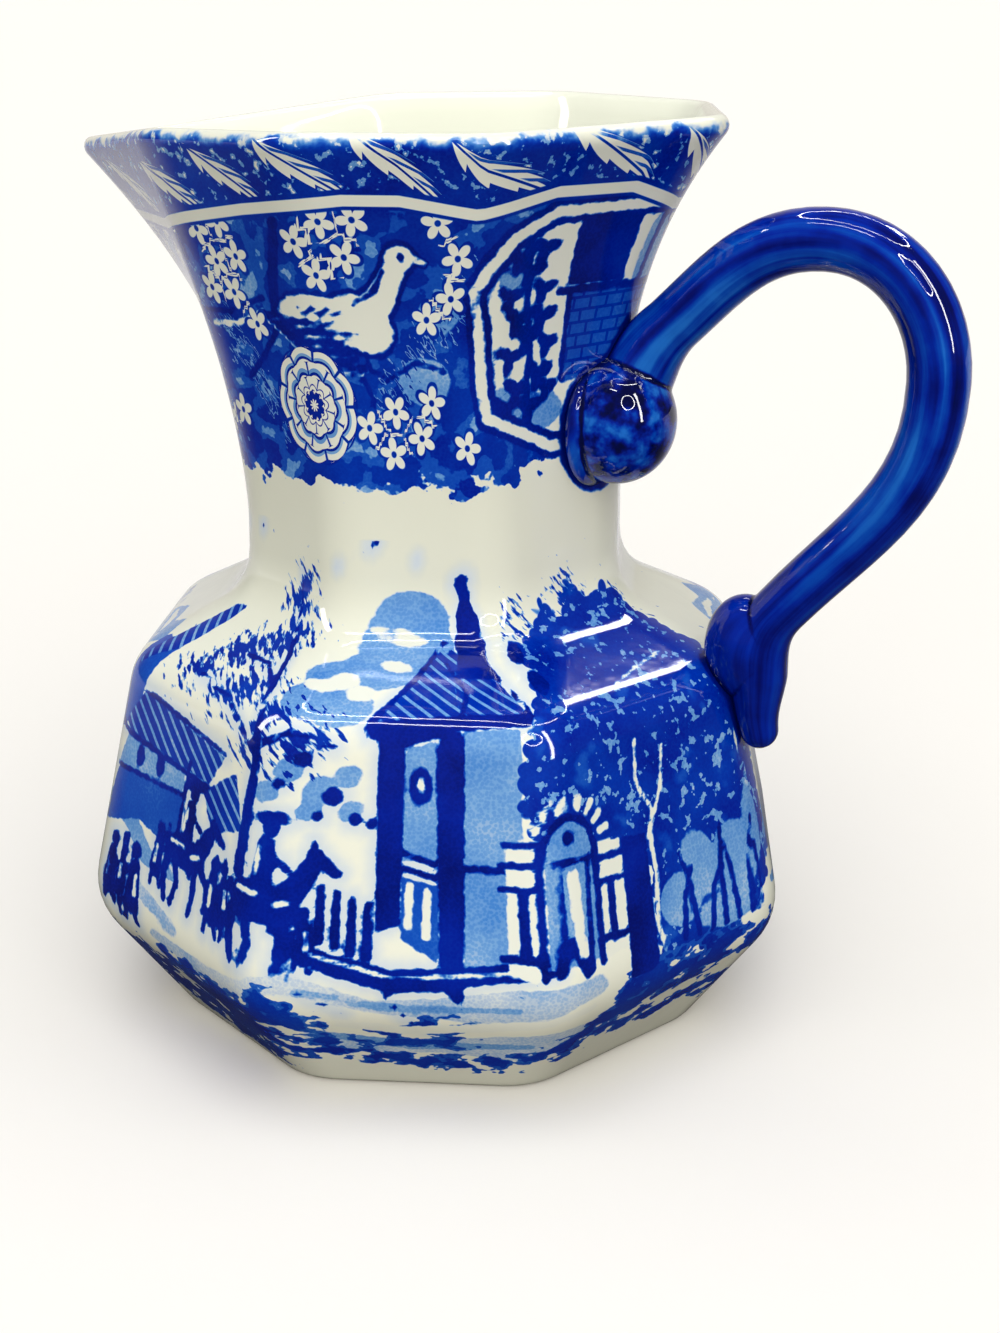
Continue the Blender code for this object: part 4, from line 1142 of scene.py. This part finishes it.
def measureJoinGaps():
    # For both glazes: how far each point is from the other piece, in mm, up to a limit. A crease in the handle
    # counts as near, from clear on a flat place and less with its depth.
    limit, clear, perCrease = 12.0, 3.4, 46
    for piece, other, name in ((handle, pitcher, "joinGap"), (pitcher, handle, "fromHandle")):
        mesh = other.data
        tree = BVHTree.FromPolygons([v.co for v in mesh.vertices], [p.vertices[:] for p in mesh.polygons])
        found = [tree.find_nearest(vertex.co, limit / 1000)[3] for vertex in piece.data.vertices]
        near = np.array([limit if gap is None else gap * 1000 for gap in found])
        if piece == handle:
            near = np.minimum(near, clear - creaseDepth(handle.data) * perCrease)
        storeValues(piece, name, near)


handle = makeHandle(cobaltGlaze())
print("handle:", len(handle.data.polygons), "faces")
brushHandle()
measureJoinGaps()
print("handle brushed")
pitcher.data.materials.append(printedGlaze())
for piece in (pitcher, handle):
    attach(piece, "root")
    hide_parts("pitcher")

fromCamera = (-0.45, 0.89, 0)                 # level direction away from the camera


def makeStage():
    # A wide pale table. It shows darker in the glaze than it is, as a table does that runs out of the light.
    floor = addMesh("paleTable", [(-30, -30, 0), (30, -30, 0), (30, 30, 0), (-30, 30, 0)], [(0, 1, 2, 3)])
    made, tree, shader = newMaterial("paleTable")
    path = addNode(tree, "ShaderNodeLightPath").outputs
    where = addNode(tree, "ShaderNodeTexCoord").outputs["Object"]
    behind = addNode(tree, "ShaderNodeVectorMath", {0: where, 1: fromCamera}, operation="DOT_PRODUCT")
    # To light that bounces off it the table is much darker than it looks, which puts painted shade on the
    # vessel's underside and foot.
    bounced = addNode(tree, "ShaderNodeMix", {
        "Factor": path["Is Diffuse Ray"], 6: paint("#F8F8F6"), 7: paint("#7C7870")}, data_type="RGBA")
    shown = addNode(tree, "ShaderNodeMix", {
        "Factor": pastEdges(tree, (behind.outputs["Value"], 0.0, 0.3)),
        6: paint("#3C3E44"), 7: paint("#D8D8DC")}, data_type="RGBA")
    colour = addNode(tree, "ShaderNodeMix", {
        "Factor": path["Is Glossy Ray"], 6: bounced.outputs[2], 7: shown.outputs[2]}, data_type="RGBA")
    tree.links.new(colour.outputs[2], shader.inputs["Base Color"])
    shader.inputs["Roughness"].default_value = 0.9
    shader.inputs["Specular IOR Level"].default_value = 0.0
    floor.data.materials.append(made)
    floor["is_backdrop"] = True


def addCeiling():
    # Even light from above, a little from the front.
    lamp = bpy.data.lights.new("softCeiling", "SUN")
    lamp.energy, lamp.angle = 2.00, math.radians(76)
    ceiling = bpy.data.objects.new("softCeiling", lamp)
    ceiling.rotation_euler = (math.radians(9), math.radians(6), 0)
    ceiling.visible_glossy = False
    bpy.context.scene.collection.objects.link(ceiling)


def addSoftbox(name, power, size, spot, target):
    # A softbox that shows only as a highlight in the glaze.
    lamp = bpy.data.lights.new(name, "AREA")
    lamp.shape, lamp.size, lamp.size_y, lamp.energy = "RECTANGLE", size[0], size[1], power
    made = bpy.data.objects.new(name, lamp)
    made.location = spot
    made.rotation_euler = (Vector(target) - Vector(spot)).to_track_quat("-Z", "Y").to_euler()
    made.visible_diffuse = False
    bpy.context.scene.collection.objects.link(made)


def addRingLamp(name, strength, radius, width, spot, target):
    # A round tube lamp that shows only as bright rings in the glaze.
    facing = (Vector(target) - Vector(spot)).to_track_quat("-Z", "Y").to_matrix()
    points, steps = [], 64
    for step in range(steps):
        turn = 2 * math.pi * step / steps
        for reach in (radius - width / 2, radius + width / 2):
            points.append(Vector(spot) + facing @ Vector((reach * math.cos(turn), reach * math.sin(turn), 0)))
    count = len(points)
    faces = [(at, at + 1, (at + 3) % count, (at + 2) % count) for at in range(0, count, 2)]
    ring = addMesh(name, points, faces)
    made, tree, shader = newMaterial(name)
    shader.inputs["Base Color"].default_value = paint("#000000")
    shader.inputs["Emission Color"].default_value = paint("#FFFFFF")
    shader.inputs["Emission Strength"].default_value = strength
    ring.data.materials.append(made)
    ring.visible_camera = ring.visible_diffuse = ring.visible_shadow = False
    ring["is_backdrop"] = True


def makeCamera():
    lens = bpy.data.cameras.new("photoView")
    lens.lens, lens.sensor_width, lens.sensor_fit = 51.96, 36.0, "AUTO"
    camera = bpy.data.objects.new("photoView", lens)
    camera.location = (0.1892, -0.3710, 0.2266)
    camera.rotation_euler = (math.radians(70.25), 0, math.radians(26.76))
    bpy.context.scene.collection.objects.link(camera)
    bpy.context.scene.camera = camera


def makeRoom():
    # A pale room: dim all round with a bright side behind the camera, near white as the background, and dark
    # in the glaze but for the far side.
    world = bpy.data.worlds.new("paleRoom")
    world.use_nodes = True
    tree, sky = world.node_tree, world.node_tree.nodes["Background"]
    path = addNode(tree, "ShaderNodeLightPath").outputs
    where = addNode(tree, "ShaderNodeTexCoord").outputs["Generated"]
    toCamera, behind = (
        addNode(tree, "ShaderNodeVectorMath", {0: where, 1: way}, operation="DOT_PRODUCT").outputs["Value"]
        for way in ((0.50, -0.86, 0.05), fromCamera))
    fill = layCoats(tree, 0.26, (2.75, (toCamera, 0.50, 0.99)))
    shown = layCoats(tree, 0.08, (0.7, (behind, 0.55, 0.95)))
    strength = layCoats(tree, fill, (0.97, path["Is Camera Ray"]), (shown, path["Is Glossy Ray"]))
    tree.links.new(strength, sky.inputs["Strength"])
    tint = addNode(tree, "ShaderNodeMix", {
        "Factor": path["Is Camera Ray"], 6: paint("#FFF7EC"), 7: paint("#FFFEFA")}, data_type="RGBA")
    tree.links.new(tint.outputs[2], sky.inputs["Color"])
    bpy.context.scene.world = world


makeStage()
makeCamera()
addCeiling()
addRingLamp("ringAbove", 44.0, 0.70, 0.022, (0.08, 0.29, 1.46), (0, 0, 0.1))
addRingLamp("ringInFront", 40.0, 0.30, 0.025, (0.85, -0.75, 1.0), (0, 0, 0.12))
addSoftbox("leftKey", 9.0, (0.18, 0.9), (-1.1, -0.6, 0.9), (0, 0, 0.1))
addSoftbox("rightStrip", 8.0, (0.10, 1.1), (1.1, -0.35, 0.7), (0.05, 0, 0.12))
addSoftbox("topStrip", 3.0, (0.8, 0.04), (-0.1, -0.7, 1.5), (0, 0, 0.12))
addSoftbox("backWindow", 3.0, (0.20, 0.26), (0.362, 1.014, 1.21), (0.03, -0.02, 0.09))
makeRoom()
bpy.context.scene.view_settings.view_transform = "Standard"

low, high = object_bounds()
print("visual box", [round(v * 1000, 1) for v in (*low, *high)])
